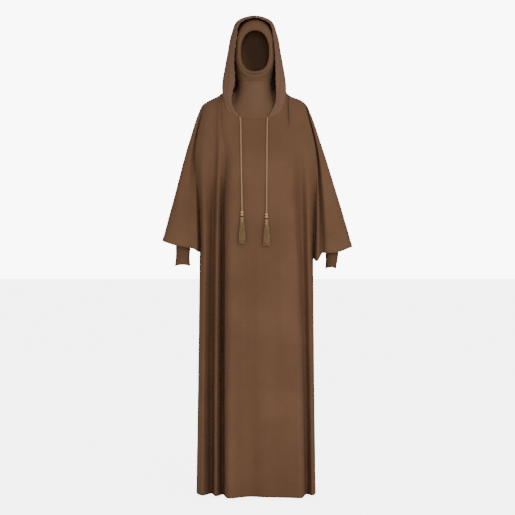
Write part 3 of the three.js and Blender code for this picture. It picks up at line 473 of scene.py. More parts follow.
def jaw_crease(cloth, grid):
    """A deep crease round the jaw, under the face opening. This cloth's normals point inwards."""
    crease = JAW_CREASE
    shift = np.zeros(len(cloth.points))
    for r in range(crease["loops"] * ROWS_PER_LOOP + 1):
        for i, turn in enumerate(TURNS):
            side = abs(math.sin(turn))
            middle = crease["start"] + crease["spread"] * side**1.5
            fade = smooth((math.cos(turn) + JAW_FADE["from"]) / JAW_FADE["over"])
            depth = mix(crease["least"], crease["depth"], side)
            away = (r / ROWS_PER_LOOP - middle) / crease["width"]
            place = cloth.index[cloth.key(grid[r][i])]
            shift[place] = fade * depth / (1 + away**2) ** 1.5
    cloth.shift = shift


def neck_foot(turn):
    half = min(turn, 2 * math.pi - turn)
    quarter = math.pi / 2
    side = -1 if turn > math.pi else 1
    p = neckline_point(abs(quarter - half) / quarter, side, half < quarter)
    inward = vec(-p[0], NECK_MIDDLE_Y - p[1], 0)
    return p + inward / np.linalg.norm(inward) * LAP - (0, 0, NECK_TUCK)


def neck_grid(top):
    """It stays close about the neck for most of the way and spreads low down"""
    foot = np.array([neck_foot(turn) for turn in TURNS])
    aside = np.sin(TURNS) ** 2
    middle = np.where(np.cos(TURNS) > 0, NECK_CLOSENESS["front"], NECK_CLOSENESS["back"])
    rows = [top]
    for r in range(1, NECK_ROWS + 1):
        share = r / NECK_ROWS
        out = (share ** mix(middle, NECK_CLOSENESS["side"], aside))[:, None]
        down = share + NECK_SAG * aside * math.sin(math.pi * share)
        row = mix(top, foot, out)
        row[:, 2] = mix(top[:, 2], foot[:, 2], down)
        rows.append(row)
    return np.array(rows)


# Cuff sections: x, y, z, half width and half depth. The last is the seat in the sleeve.
CUFF_SECTIONS = {
    "left": [
        (-252, -25, -609, 27, 20), (-251.5, -25, -594, 25, 19), (-251, -25, -574, 24, 19),
        (-250, -24, -548, 25, 21), (-250, -22, -512, 27, 27), (-251, -19, -480, 30, 35),
        (-252, -17, -455, 33, 0),
    ],
    "right": [
        (267, -25, -618, 18.7, 20), (269, -25, -602, 19.5, 19.5), (271, -25, -584, 20.8, 20),
        (272, -24, -560, 22.5, 22), (273, -22, -524, 26, 27), (274, -19, -490, 30, 35),
        (268, -17, -462, 30, 0),
    ],
}
CUFF_POINTS = 60
CUFF_ROWS = 60
CUFF_ARCH = 4


def cloth_y(grid, x, z):
    """How far forward a sleeve's cloth is, at the nearest point of its grid"""
    points = grid.reshape(-1, 3)
    return points[np.argmin((points[:, 0] - x) ** 2 + (points[:, 2] - z) ** 2)][1]


def cuff_grid(side, in_front, behind):
    sections = [list(section) for section in CUFF_SECTIONS[side]]
    x, _, z, half, _ = sections[-1]
    near, far = cloth_y(in_front, x, z), cloth_y(behind, x, z)
    sections[-1] = [x, (near + far) / 2, z, half, (far - near) / 2 - LAP]
    curve = open_curve(sections)
    turns = full_turn(CUFF_POINTS)
    rows = []
    for r in range(CUFF_ROWS + 1):
        place = r / CUFF_ROWS * (len(sections) - 1)
        x, y, z, half_x, half_y = curve(place)
        arch = CUFF_ARCH * np.sin(turns) ** 2 * max(0, 1 - place)
        rows.append(np.column_stack([x + half_x * np.cos(turns), y + half_y * np.sin(turns), z + arch]))
    return np.array(rows[::-1])


# Cloth surfaces
def running_length(grid, axis):
    """Mean distance along a grid's rows or columns"""
    steps = np.linalg.norm(np.diff(grid, axis=axis), axis=2).mean(axis=1 - axis)
    return np.concatenate([[0], np.cumsum(steps)])


class Cloth:
    def __init__(self):
        self.points = []
        self.faces = []
        self.corners = []
        self.index = {}

    def key(self, p):
        return tuple(np.round(p / 0.005).astype(int))

    def add(self, p):
        key = self.key(p)
        if key not in self.index:
            self.index[key] = len(self.points)
            self.points.append(p)
        return self.index[key]

    def add_grid(self, grid, closed=False, flipped=False, projected=False):
        """Faces between a grid's rows. Each corner keeps its place on the flat cloth, for the weave."""
        self.grid = grid
        if closed:
            grid = np.concatenate([grid, grid[:, :1]], axis=1)
        down = running_length(grid, 0)
        across = running_length(grid, 1)
        ids = [[self.add(p) for p in row] for row in grid]
        for r in range(len(ids) - 1):
            for c in range(len(ids[0]) - 1):
                ring = []
                for i, j in ((r, c), (r, c + 1), (r + 1, c + 1), (r + 1, c)):
                    place = (grid[i][j][0], grid[i][j][2]) if projected else (across[j], down[i])
                    if ids[i][j] not in [a for a, _ in ring]:
                        ring.append((ids[i][j], place))
                if len(ring) > 2:
                    ring = ring[::-1] if flipped else ring
                    self.faces.append([a for a, _ in ring])
                    self.corners.append([place for _, place in ring])
        return self

    def normal_sums(self):
        points = np.array(self.points)
        sums = np.zeros_like(points)
        for ring in self.faces:
            corners = points[ring]
            across = corners[2] - corners[0]
            other = corners[-1] - corners[1]
            sums[ring] += np.cross(across, other)
        return sums


def shared_normals(cloths):
    total = {}
    sums = [cloth.normal_sums() for cloth in cloths]
    for cloth, rows in zip(cloths, sums):
        for p, row in zip(cloth.points, rows):
            key = cloth.key(p)
            total[key] = total.get(key, 0) + row
    for cloth in cloths:
        rows = np.array([total[cloth.key(p)] for p in cloth.points])
        cloth.normals = rows / np.maximum(np.linalg.norm(rows, axis=1, keepdims=True), 1e-9)


# Creases pressed or hung into the cloth, as seen from the front: x and z of both ends, bow sideways,
# width, and depth. A depth over 0 is a ridge.
FRONT_CREASES = [
    (-96, -560, -92, -1350, 6, 9, 1.6), (-70, -640, -62, -1395, -5, 12, -1.8),
    (-40, -420, -52, -1180, 8, 14, 1.7), (-14, -700, -10, -1400, -6, 12, -1.6),
    (8, -330, 4, -900, 5, 17, 1.4), (22, -820, 30, -1400, 4, 13, -1.9),
    (48, -520, 46, -1250, -7, 13, 1.6), (70, -760, 78, -1400, 5, 11, -1.8),
    (86, -130, 92, -560, -6, 9, -2.2), (99, -120, 107, -700, -5, 8, 1.8),
    (112, -640, 120, -1400, 4, 10, 1.6), (-104, -110, -96, -330, 5, 10, -1.5),
    (-66, -170, -72, -470, 5, 15, -1.4), (-146, -420, -140, -1200, 4, 9, 1.4),
    (-168, -640, -166, -1400, 3, 8, -1.5), (172, -620, 176, -1400, 4, 8, 1.5),
    (190, -700, 197, -1390, 3, 7, -1.4), (158, -300, 163, -900, 4, 9, 1.3),
    (-212, -110, -246, -470, 10, 11, 1.9), (-232, -200, -282, -500, 8, 13, -1.7),
    (-214, -300, -224, -535, -4, 8, -1.8), (-196, -160, -206, -380, -3, 8, 1.5),
    (224, -120, 266, -500, -10, 12, 1.9), (240, -190, 300, -540, -9, 13, -1.7),
    (228, -330, 236, -560, 4, 8, -1.7), (206, -170, 216, -420, 4, 9, 1.4),
    (-150, -40, -110, -130, 9, 10, -1.4), (150, -42, 118, -140, -8, 10, -1.4),
    (-30, -125, -62, -210, 8, 12, 1.2), (30, -125, 66, -230, -8, 12, 1.2),
]
BACK_CREASES = [
    (-84, -180, -80, -1390, 7, 13, 1.7), (-28, -260, -24, -1400, -6, 12, -1.7),
    (0, -60, 3, -640, 3, 16, 1.3), (30, -300, 34, -1390, 5, 13, 1.6),
    (84, -190, 90, -1400, -7, 12, -1.7), (-130, -420, -132, -1400, 3, 8, -1.4),
    (140, -420, 146, -1400, 3, 8, 1.5), (-160, -520, -164, -1390, 3, 8, 1.4),
    (170, -560, 178, -1400, 3, 8, -1.4), (-60, -20, -100, -190, 10, 11, -1.5),
    (60, -20, 102, -200, -10, 11, -1.5), (-208, -110, -250, -480, 9, 12, 1.8),
    (-226, -190, -276, -500, 7, 13, -1.6), (-212, -300, -222, -540, -4, 8, -1.7),
    (220, -120, 262, -510, -9, 12, 1.8), (238, -190, 296, -540, -8, 13, -1.6),
    (224, -330, 232, -560, 4, 8, -1.6), (-20, -700, -50, -1380, 6, 13, 1.2),
    (60, -620, 50, -1380, -6, 12, 1.3), (110, -760, 118, -1400, 4, 10, -1.5),
]
SLACK = [(173, 0.4, 0.5), (97, 2.1, 0.35), (61, 4.4, 0.22), (38, 1.2, 0.12)]
CREASE_WOBBLE = {"most": 1.5, "waves": 5}
CREASE_ENDS = {"top": 0.22, "foot": 0.16, "least": 0.1}


def crease_depth(points, creases):
    x, z = points[:, 0], points[:, 2]
    depth = np.zeros(len(points))
    for x0, z0, x1, z1, bow, width, height in creases:
        length = math.hypot(x1 - x0, z1 - z0)
        ux, uz = (x1 - x0) / length, (z1 - z0) / length
        along = ((x - x0) * ux + (z - z0) * uz) / length
        side = (x - x0) * uz - (z - z0) * ux
        inside = np.clip(along, 0, 1)
        wobble = CREASE_WOBBLE["most"] * np.sin(CREASE_WOBBLE["waves"] * math.pi * inside + x0)
        side = side - bow * np.sin(math.pi * inside) - wobble
        fade = smooth(along / CREASE_ENDS["top"] + CREASE_ENDS["least"])
        fade *= smooth((1 - along) / CREASE_ENDS["foot"] + CREASE_ENDS["least"])
        depth += height * fade * np.exp(-((side / width) ** 2))
    return depth


NECK_GROOVE = (0.6, 0.25)


def press_in(cloth, grid):
    """A shallow groove along the neckline seam"""
    for row, depth in zip(grid, NECK_GROOVE):
        for p in row:
            if math.hypot(p[0], p[1]) < NECK_HALF_WIDTH + 8:
                cloth.shift[cloth.index[cloth.key(p)]] -= depth


def hang(cloth):
    """Creases and a little slack on the body and sleeves, also where the two panels meet"""
    points = np.array(cloth.points)
    facing = cloth.normals[:, 1]
    x, y, z = points.T
    front = crease_depth(points, FRONT_CREASES) * smooth((-facing - 0.1) / 0.4)
    back = crease_depth(points, BACK_CREASES) * smooth((facing - 0.1) / 0.4)
    slack = 0.5 * unevenly(x + 0.12 * z + 0.4 * y, SLACK) * smooth(-z / 120)
    slack += 0.35 * unevenly(z + 0.7 * x - 0.5 * y, SLACK)
    moved = (front + back + slack) * smooth((np.abs(facing) + 0.25) / 0.5)
    at_neck = smooth((np.hypot(x, y * 1.15) - 116) / 30) + smooth((-z - 108) / 30)
    cloth.shift = moved * np.clip(at_neck, 0, 1)


# Objects from meshes
def rim_of(faces):
    edges = {}
    for ring in faces:
        for a, b in zip(ring, [*ring[1:], ring[0]]):
            edges[(a, b)] = True
    return [edge for edge in edges if (edge[1], edge[0]) not in edges]


def make_object(name, points, faces, material, corners=None):
    mesh = bpy.data.meshes.new(name)
    mesh.from_pydata((np.asarray(points) * MM).tolist(), [], [list(map(int, ring)) for ring in faces])
    if corners is not None:
        layer = mesh.uv_layers.new(name="cloth")
        flat = np.array([place for ring in corners for place in ring], float) * MM
        layer.data.foreach_set("uv", flat.ravel())
    mesh.shade_smooth()
    mesh.materials.append(material)
    piece = bpy.data.objects.new(name, mesh)
    bpy.context.collection.objects.link(piece)
    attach(piece, "root")
    return piece


def shell(name, cloth, material, thickness=SHELL, shift=None):
    """A thin closed shell about a cloth surface"""
    points = np.array(cloth.points)
    if shift is None:
        shift = getattr(cloth, "shift", np.zeros(len(points)))
    middle = points + cloth.normals * shift[:, None]
    cloth.middle = middle
    half = np.broadcast_to(np.asarray(thickness, float) / 2, len(points))[:, None]
    size = len(points)
    rim = rim_of(cloth.faces)
    faces = [*cloth.faces, *([a + size for a in ring[::-1]] for ring in cloth.faces)]
    faces += [(b, a, a + size, b + size) for a, b in rim]
    corners = [*cloth.corners, *(ring[::-1] for ring in cloth.corners)]
    corners += [[(middle[a][0], middle[a][2])] * 4 for a, _ in rim]
    both = np.concatenate([middle + cloth.normals * half, middle - cloth.normals * half])
    piece = make_object(name, both, faces, material, corners)
    flags = [True] * (len(faces) - len(rim)) + [False] * len(rim)
    piece.data.polygons.foreach_set("use_smooth", flags)
    return piece


def tube(rings, closed=False):
    """Points and faces of rings joined to each other, with flat ends where it isn't closed"""
    rings = np.asarray(rings, float)
    rows, sides = rings.shape[:2]
    faces = []
    for r in range(rows if closed else rows - 1):
        low, high = r * sides, (r + 1) % rows * sides
        for k in range(sides):
            n = (k + 1) % sides
            faces.append((low + k, low + n, high + n, high + k))
    if not closed:
        faces.append(tuple(range(sides))[::-1])
        faces.append(tuple(range((rows - 1) * sides, rows * sides)))
    return rings.reshape(-1, 3), faces


def joined(parts):
    points, faces, size = [], [], 0
    for part_points, part_faces in parts:
        points.append(part_points)
        faces += [tuple(a + size for a in ring) for ring in part_faces]
        size += len(part_points)
    return np.concatenate(points), faces


def frames_along(path):
    """Direction and two sides at each point of a path"""
    path = np.asarray(path, float)
    ahead = np.gradient(path, axis=0)
    ahead /= np.linalg.norm(ahead, axis=1, keepdims=True)
    first = np.cross(ahead, vec(1, 0.05, 0.02))
    first /= np.linalg.norm(first, axis=1, keepdims=True)
    return ahead, first, np.cross(ahead, first)


def resampled(path, step):
    path = np.asarray(path, float)
    lengths = path_lengths(path)
    number = max(2, round(lengths[-1] / step))
    wanted = np.linspace(0, lengths[-1], number + 1)
    return np.column_stack([np.interp(wanted, lengths, path[:, k]) for k in range(3)])


# Materials
def node_of(tree, kind, **values):
    node = tree.nodes.new(kind)
    for name, value in values.items():
        if name in node.inputs:
            node.inputs[name].default_value = value
        else:
            setattr(node, name, value)
    return node


def ramp(tree, source, rows):
    node = tree.nodes.new("ShaderNodeValToRGB")
    tree.links.new(source, node.inputs["Fac"])
    while len(node.color_ramp.elements) < len(rows):
        node.color_ramp.elements.new(0.5)
    for element, (place, colour) in zip(node.color_ramp.elements, rows):
        element.position = place
        element.color = (*colour, 1)
    return node.outputs["Color"]


def linear(hexa):
    channels = [int(hexa[i : i + 2], 16) / 255 for i in (0, 2, 4)]
    return tuple(c / 12.92 if c <= 0.04045 else ((c + 0.055) / 1.055) ** 2.4 for c in channels)


def new_material(name, roughness, sheen=0.0, sheen_tint=(1, 1, 1), specular=0.3, coat=0.0):
    material = bpy.data.materials.new(name)
    material.use_nodes = True
    tree = material.node_tree
    shader = tree.nodes["Principled BSDF"]
    shader.inputs["Roughness"].default_value = roughness
    shader.inputs["Specular IOR Level"].default_value = specular
    shader.inputs["Sheen Weight"].default_value = sheen
    shader.inputs["Sheen Roughness"].default_value = 0.5
    shader.inputs["Sheen Tint"].default_value = (*sheen_tint, 1)
    shader.inputs["Coat Weight"].default_value = coat
    return material, tree, shader


def noise_at(tree, place, scale, detail, roughness):
    node = node_of(tree, "ShaderNodeTexNoise", Scale=scale, Detail=detail, Roughness=roughness)
    tree.links.new(place, node.inputs["Vector"])
    return node.outputs["Fac"]


def object_place(tree):
    return tree.nodes.new("ShaderNodeTexCoord").outputs["Object"]


def raise_by(tree, shader, height, strength, distance):
    bump = node_of(tree, "ShaderNodeBump", Strength=strength, Distance=distance)
    tree.links.new(height, bump.inputs["Height"])
    tree.links.new(bump.outputs["Normal"], shader.inputs["Normal"])


def woven(name, dark, mid, light, thread, roughness, sheen, grain):
    """Cloth with uneven dye, crossing threads and a pebbly grain"""
    material, tree, shader = new_material(name, roughness, sheen, linear(light), 0.12)
    link = tree.links.new
    cloth = node_of(tree, "ShaderNodeUVMap", uv_map="cloth").outputs["UV"]
    place = object_place(tree)
    broad = noise_at(tree, place, 5.5, 3.0, 0.55)
    fine = noise_at(tree, place, 420.0, 4.0, 0.6)
    dye = ramp(tree, broad, [(0.3, linear(dark)), (0.5, linear(mid)), (0.7, linear(light))])
    speck = ramp(tree, fine, [(0.25, (0.84, 0.84, 0.84)), (0.75, (1, 1, 1))])
    blend = node_of(tree, "ShaderNodeMix", data_type="RGBA", blend_type="MULTIPLY")
    blend.inputs["Factor"].default_value = 0.8
    link(dye, blend.inputs["A"])
    link(speck, blend.inputs["B"])
    link(blend.outputs["Result"], shader.inputs["Base Color"])
    heights = []
    for direction in ("X", "Y"):
        wave = node_of(tree, "ShaderNodeTexWave", bands_direction=direction, Scale=1000 / thread / 6.28)
        wave.inputs["Distortion"].default_value = 1.2
        wave.inputs["Detail"].default_value = 1.0
        link(cloth, wave.inputs["Vector"])
        heights.append(wave.outputs["Fac"])
    threads = node_of(tree, "ShaderNodeMath", operation="MULTIPLY")
    link(heights[0], threads.inputs[0])
    link(heights[1], threads.inputs[1])
    total = node_of(tree, "ShaderNodeMath", operation="ADD")
    link(threads.outputs["Value"], total.inputs[0])
    link(noise_at(tree, place, grain, 2.0, 0.5), total.inputs[1])
    raise_by(tree, shader, total.outputs["Value"], 0.35, 0.00025)
    return material


def threaded(name, dark, light, roughness, sheen):
    """Twisted thread with a soft shine"""
    material, tree, shader = new_material(name, roughness, sheen, linear(light), 0.4)
    fine = noise_at(tree, object_place(tree), 900.0, 3.0, 0.6)
    colour = ramp(tree, fine, [(0.3, linear(dark)), (0.7, linear(light))])
    tree.links.new(colour, shader.inputs["Base Color"])
    raise_by(tree, shader, fine, 0.5, 0.0003)
    return material


def polished_wood(name, dark, light, roughness):
    material, tree, shader = new_material(name, roughness, 0, (1, 1, 1), 0.5, 0.3)
    grain = node_of(tree, "ShaderNodeTexWave", Scale=160.0, Distortion=3.0, bands_direction="Z")
    tree.links.new(object_place(tree), grain.inputs["Vector"])
    colour = ramp(tree, grain.outputs["Fac"], [(0.1, linear(dark)), (0.9, linear(light))])
    tree.links.new(colour, shader.inputs["Base Color"])
    raise_by(tree, shader, grain.outputs["Fac"], 0.15, 0.0002)
    return material


BODY_CLOTH = woven("body_cloth", "654935", "6a4d39", "6f513c", 0.55, 0.9, 0.06, 1300.0)
HOOD_CLOTH = woven("hood_cloth", "6b503f", "705443", "755847", 0.55, 0.9, 0.06, 1300.0)
INNER_CLOTH = woven("inner_cloth", "664a36", "694e3a", "6d523e", 0.5, 0.9, 0.05, 1500.0)
CUFF_CLOTH = woven("cuff_cloth", "573f2d", "5d4431", "634935", 0.7, 0.92, 0.06, 1100.0)
SEWING = threaded("sewing_thread", "3f2c1e", "4f3827", 0.7, 0.1)
BRAID = threaded("braid", "7c5f41", "a3835c", 0.5, 0.3)
TASSEL = threaded("tassel_thread", "6e5436", "9a7c50", 0.5, 0.3)
BEAD = polished_wood("bead", "9c7a52", "c9a678", 0.3)
# Painted shade: the dark ring's near-black colour stands in for the shaded gap between the collar bead and
# the tassel's head.
GAP_SHADE_RING = polished_wood("dark_ring", "2b1c12", "3f2a1b", 0.4)

# Cloth pieces
front = panel_grids(True)
back = panel_grids(False)
hood = {side: hood_grid(side, hood_foot(side, front["upper"][0], back["upper"][0])) for side in OVERARM}
inner = inner_grid()
neck = neck_grid(inner[-1])


def panel_cloth(grids, is_front):
    cloth = Cloth()
    for name in ("upper", "lower", "left"):
        cloth.add_grid(grids[name], flipped=not is_front, projected=True)
    return cloth.add_grid(grids["right"], flipped=is_front, projected=True)


CLOTHS = {
    "front_panel": panel_cloth(front, True),
    "back_panel": panel_cloth(back, False),
    "hood_left_half": Cloth().add_grid(hood["left"]),
    "hood_right_half": Cloth().add_grid(hood["right"], flipped=True),
    "inner_hood": Cloth().add_grid(inner, closed=True),
    "inner_neck": Cloth().add_grid(neck, closed=True),
    "cuff_left": Cloth().add_grid(cuff_grid("left", front["left"], back["left"]), closed=True),
    "cuff_right": Cloth().add_grid(cuff_grid("right", front["right"], back["right"]), closed=True),
}
shared_normals(list(CLOTHS.values()))
jaw_crease(CLOTHS["inner_hood"], inner)
for name, grids in (("front", front), ("back", back)):
    hang(CLOTHS[f"{name}_panel"])
    press_in(CLOTHS[f"{name}_panel"], grids["upper"])
for side in OVERARM:
    half = CLOTHS[f"hood_{side}_half"]
    half.shift = np.zeros(len(half.points))
    press_in(half, hood[side])
HEM = {"thickness": 2.4, "rows": 3, "stitch_row": -3}


def hem_thickness(cloth, grids):
    """The cloth is turned up once along the body's hem and the sleeves' hems"""
    thickness = np.full(len(cloth.points), SHELL)
    for name, last in (("lower", None), ("left", -2), ("right", -2)):
        for row in grids[name][-HEM["rows"] :]:
            for p in row[:last]:
                thickness[cloth.index[cloth.key(p)]] = HEM["thickness"]
    return thickness


SLEEVES = ("sleeve_left", "sleeve_right")
CLOTH_OF = {"hood": HOOD_CLOTH, "inner": INNER_CLOTH, "cuff": CUFF_CLOTH}
for name, cloth in CLOTHS.items():
    material = CLOTH_OF.get(name.split("_")[0], BODY_CLOTH)
    thickness = SHELL
    if name.endswith("panel"):
        thickness = hem_thickness(cloth, front if name == "front_panel" else back)
    shell(f"{name}_cloth", cloth, material, thickness)
    sleeves = [f"{name[:-6]}_{sleeve}" for sleeve in SLEEVES] if name.endswith("panel") else []
    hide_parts(name, *sleeves)

# Hood casing: a channel of cloth turned over the hood's edge and gathered on its drawstring
CASING_COLUMNS = 2 * FINER
CASING_ROWS = 210
CASING_START = 0.15 / 16 * HOOD_ROWS
CASING_END = HOOD_ROWS - 0.3
CASING = {
    "thickness": 0.8, "rest": 1.5, "fullness": 1.3, "behind": 0.4, "nose": 2.3, "least": 1.3, "pucker": 1.5,
}
PUCKERS = {
    "left": [(24, 0.3, 0.6), (16.7, 1.9, 0.34), (43, 0.9, 0.3), (9.3, 2.2, 0.14)],
    "right": [(22.6, 2.1, 0.6), (17.9, 0.4, 0.34), (39, 3.2, 0.3), (8.7, 1.1, 0.14)],
}
NOSE_TURNS = (75, 45, 15, -15, -45, -75)


def looseness(column):
    """The cloth is free of the hood about the middle of the casing's width"""
    return math.sin(math.pi * (0.06 + 0.62 * (CASING_COLUMNS - column) / CASING_COLUMNS))


def casing_cloth(side):
    grid = hood[side]
    cloth = CLOTHS[f"hood_{side}_half"]
    normals = np.array([[cloth.normals[cloth.index[cloth.key(p)]] for p in row] for row in grid])
    length = running_length(grid[:, :1], 0)
    rows = []
    for place in np.linspace(CASING_START, CASING_END, CASING_ROWS + 1):
        r = min(int(place), HOOD_ROWS - 1)
        points = mix(grid[r], grid[r + 1], place - r)[: CASING_COLUMNS + 1]
        outward = mix(normals[r], normals[r + 1], place - r)[: CASING_COLUMNS + 1]
        ahead = points[0] - points[1]
        ahead = ahead / np.linalg.norm(ahead)
        wave = unevenly(np.interp(place, range(len(length)), length), PUCKERS[side])
        row = []
        for c in range(CASING_COLUMNS, -1, -1):
            lift = CASING["rest"] + looseness(c) * (CASING["fullness"] + CASING["pucker"] * wave)
            row.append(points[c] + outward[c] * lift)
        for turn in NOSE_TURNS:
            a = math.radians(turn)
            reach = CASING["nose"] + CASING["pucker"] * wave
            direction = ahead * math.cos(a) + outward[0] * math.sin(a)
            row.append(points[0] + direction * max(reach, CASING["least"]))
        for c in range(CASING_COLUMNS + 1):
            lift = CASING["rest"] + looseness(c) * (CASING["behind"] + 0.5 * CASING["pucker"] * wave)
            row.append(points[c] - outward[c] * lift)
        rows.append(row)
    return Cloth().add_grid(np.array(rows), flipped=side == "right")


for side in OVERARM:
    channel = casing_cloth(side)
    shared_normals([channel])
    CLOTHS[f"hood_casing_{side}"] = channel
    piece = shell(f"hood_casing_{side}_cloth", channel, HOOD_CLOTH, CASING["thickness"])
    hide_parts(f"hood_casing_{side}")

# Face binding: a rolled edge round the face opening
BINDING = {"radius": 2.4, "gap": 0.2, "sides": 14}


def binding():
    turns = full_turn(BINDING["sides"])
    rings = []
    for i in range(LOOP_POINTS):
        edge, behind = inner[0][i], inner[1][i]
        out = (edge - behind) / np.linalg.norm(edge - behind)
        along = inner[0][(i + 1) % LOOP_POINTS] - inner[0][i - 1]
        across = np.cross(along, out)
        across /= np.linalg.norm(across)
        radius = BINDING["radius"] * (1 + 0.06 * math.sin(i * 2.3) + 0.05 * math.sin(i * 0.9 + 1))
        middle = edge + out * (BINDING["radius"] + BINDING["gap"])
        rings.append([middle + radius * (out * math.cos(a) - across * math.sin(a)) for a in turns])
    return tube(rings, closed=True)


make_object("face_binding_roll", *binding(), INNER_CLOTH)
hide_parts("face_binding")

# Sewing: rows of stitches along the hems, the casings and the cuffs
STITCH = {"pitch": 4.2, "length": 3.1, "radius": 0.3, "above": 0.12, "sides": 5}
STITCH_RINGS = ((0, 0.15), (0.12, 1), (0.88, 1), (1, 0.15))


def stitch_path(cloth, row, half):
    """A row of a cloth's points, on its outer face"""
    ids = [cloth.index[cloth.key(p)] for p in row]
    return cloth.middle[ids] + cloth.normals[ids] * (half + STITCH["above"])


def stitches(path):
    points = resampled(path, STITCH["pitch"])
    turns = full_turn(STITCH["sides"])
    parts = []
    for start, end in zip(points[:-1], points[1:]):
        ahead = (end - start) / np.linalg.norm(end - start)
        _, first, second = frames_along([start, end])
        rings = []
        for share, width in STITCH_RINGS:
            middle = start + ahead * STITCH["length"] * share
            rings.append(middle + circle(turns, first[0], second[0]) * STITCH["radius"] * width)
        parts.append(tube(rings))
    return parts


def sew(name, paths):
    parts = [part for path in paths for part in stitches(path)]
    make_object(name, *joined(parts), SEWING)


def hem_paths(cloth, grids):
    paths = [grids["lower"][HEM["stitch_row"]]]
    paths += [grids[side][HEM["stitch_row"]][:-2] for side in OVERARM]
    return [stitch_path(cloth, row, HEM["thickness"] / 2) for row in paths]


for name, grids in (("front", front), ("back", back)):
    sew(f"{name}_hem_stitches", hem_paths(CLOTHS[f"{name}_panel"], grids))
for side in OVERARM:
    channel = CLOTHS[f"hood_casing_{side}"]
    sew(f"casing_stitches_{side}", [stitch_path(channel, channel.grid[:, 1], CASING["thickness"] / 2)])
    cuff = CLOTHS[f"cuff_{side}"]
    sew(f"cuff_stitches_{side}", [stitch_path(cuff, cuff.grid[-6], SHELL / 2)])


# Flat cloth: a helper that measures the longest row and longest column of a piece's grid
def spans(grid, closed=False):
    """Longest row and longest column of a grid, in metres"""
    grid = np.asarray(grid)
    if closed:
        grid = np.concatenate([grid, grid[:, :1]], axis=1)
    across = np.linalg.norm(np.diff(grid, axis=1), axis=2).sum(axis=1).max()
    down = np.linalg.norm(np.diff(grid, axis=0), axis=2).sum(axis=0).max()
    return across * MM, down * MM


# Drawstring ends: twisted cords with beads and tassels
CORD_ROUTES = {
    "left": [
        (-49.6, -97, -92.8), (-48.9, -98.8, -99), (-48.2, -102, -106.5), (-47.5, -106.6, -116.5),
        (-47, -113, -130), (-46.7, -120.2, -145), (-46.4, -128, -161), (-46.1, -136.8, -180),
        (-45.6, -145, -205), (-45.2, -148.8, -238), (-44.7, -150.7, -273), (-44.2, -150.9, -308),
        (-43.6, -151, -343), (-43, -151.4, -381), (-42.3, -152.2, -419),
    ],
    "right": [
        (45.6, -98, -94.2), (45.2, -99.6, -101), (44.8, -102.6, -108), (44.5, -107, -118),
        (44.2, -113.2, -131), (43.9, -120.2, -146), (43.7, -127.6, -162), (43.5, -137, -181),
        (43.2, -146, -207), (42.9, -149.6, -241), (42.6, -151.3, -276), (42.4, -151.5, -311),
        (42.2, -151.6, -346), (42, -152.2, -387), (41.7, -153, -426.5),
    ],
}
TWIST = {"step": 1.3, "sides": 24, "strands": 3, "pitch": 17, "groove": 0.24}


def cord_path(side):
    """The cord's route, run on into the ball bead below it"""
    x, y, z = CORD_ROUTES[side][-1]
    curve = open_curve([*CORD_ROUTES[side], (x, y, z - BEAD_GAP - BALL_RADIUS * 1.6)])
    number = len(CORD_ROUTES[side]) * 12
    return resampled([curve(i / 12) for i in range(number + 1)], TWIST["step"])


def twisted_cord(path):
    _, first, second = frames_along(path)
    turns = full_turn(TWIST["sides"])
    rings = []
    for i, (p, u, v) in enumerate(zip(path, first, second)):
        twist = turns - 2 * math.pi * i * TWIST["step"] / TWIST["pitch"]
        lobes = np.abs(np.cos(TWIST["strands"] / 2 * twist)) ** 0.7
        radius = CORD_DIAMETER / 2 * (1 - TWIST["groove"] * (1 - lobes))
        rings.append(p + radius[:, None] * circle(turns, u, v))
    return tube(rings)


def level_ring(turns, reach, height):
    return np.column_stack([np.cos(turns) * reach, np.sin(turns) * reach, np.full(len(turns), height)])


def turned(profile, place, steps=36):
    """A turned body from radius and height rows, its foot at a place"""
    turns = full_turn(steps)
    return tube([level_ring(turns, radius, height) + place for radius, height in profile])


def rounded(profile, steps=5):
    curve = open_curve([(radius, height, 0) for radius, height in profile])
    number = (len(profile) - 1) * steps
    return [tuple(curve(i / steps)[:2]) for i in range(number + 1)]


BALL_RADIUS = 5
BEAD_GAP = 0.3
COLLAR_HEIGHT = 6
RING_HEIGHT = 3.3
BALL_TURNS = np.linspace(0.25, math.pi - 0.25, 23)
BALL = [(BALL_RADIUS * math.sin(a), BALL_RADIUS - BALL_RADIUS * math.cos(a)) for a in BALL_TURNS]
COLLAR = rounded([(3.6, 0.05), (4.9, 0.5), (5.5, 1.6), (5.1, 3), (5.5, 4.4), (4.9, 5.5), (3.6, 5.95)])
RING = rounded([(2.8, 0), (3.6, 0.5), (3.9, 1.65), (3.6, 2.8), (2.8, 3.3)])
HEAD_PROFILE = [(5.2, 0), (6.1, 1), (6.2, 5), (4.7, 7.4), (5.7, 10.5), (6, 14), (4.7, 18), (2.6, 20)]
HEAD = {"height": 20, "sides": 48, "ribs": 12, "rib": 0.22, "wound": 0.25, "pitch": 0.9}
WOUND = {"from": 5.5, "to": 10.3, "over": 0.8}
THREADS = {
    "count": 150, "length": 72, "uneven": 3.5, "radius": 0.42, "thinner": 0.25, "root": 5.2, "tip": 12,
    "flat": 0.8, "lean": -4, "sides": 4, "steps": 9, "top": 2.5, "twist": 0.25, "stray": 0.5,
}
GOLDEN_TURN = math.pi * (3 - math.sqrt(5))


def tassel_head(place):
    """A knob of threads under a wound binding"""
    rows = rounded(HEAD_PROFILE, 10)
    turns = full_turn(HEAD["sides"])
    rings = []
    for radius, height in rows:
        bound = smooth((height - WOUND["from"]) / WOUND["over"])
        bound *= smooth((WOUND["to"] - height) / WOUND["over"])
        wound = bound * HEAD["wound"] * math.sin(2 * math.pi * height / HEAD["pitch"])
        ribs = (1 - bound) * HEAD["rib"] * np.abs(np.sin(HEAD["ribs"] * turns + 0.12 * height))
        rings.append(level_ring(turns, radius + wound + ribs, height) + place)
    return tube(rings)


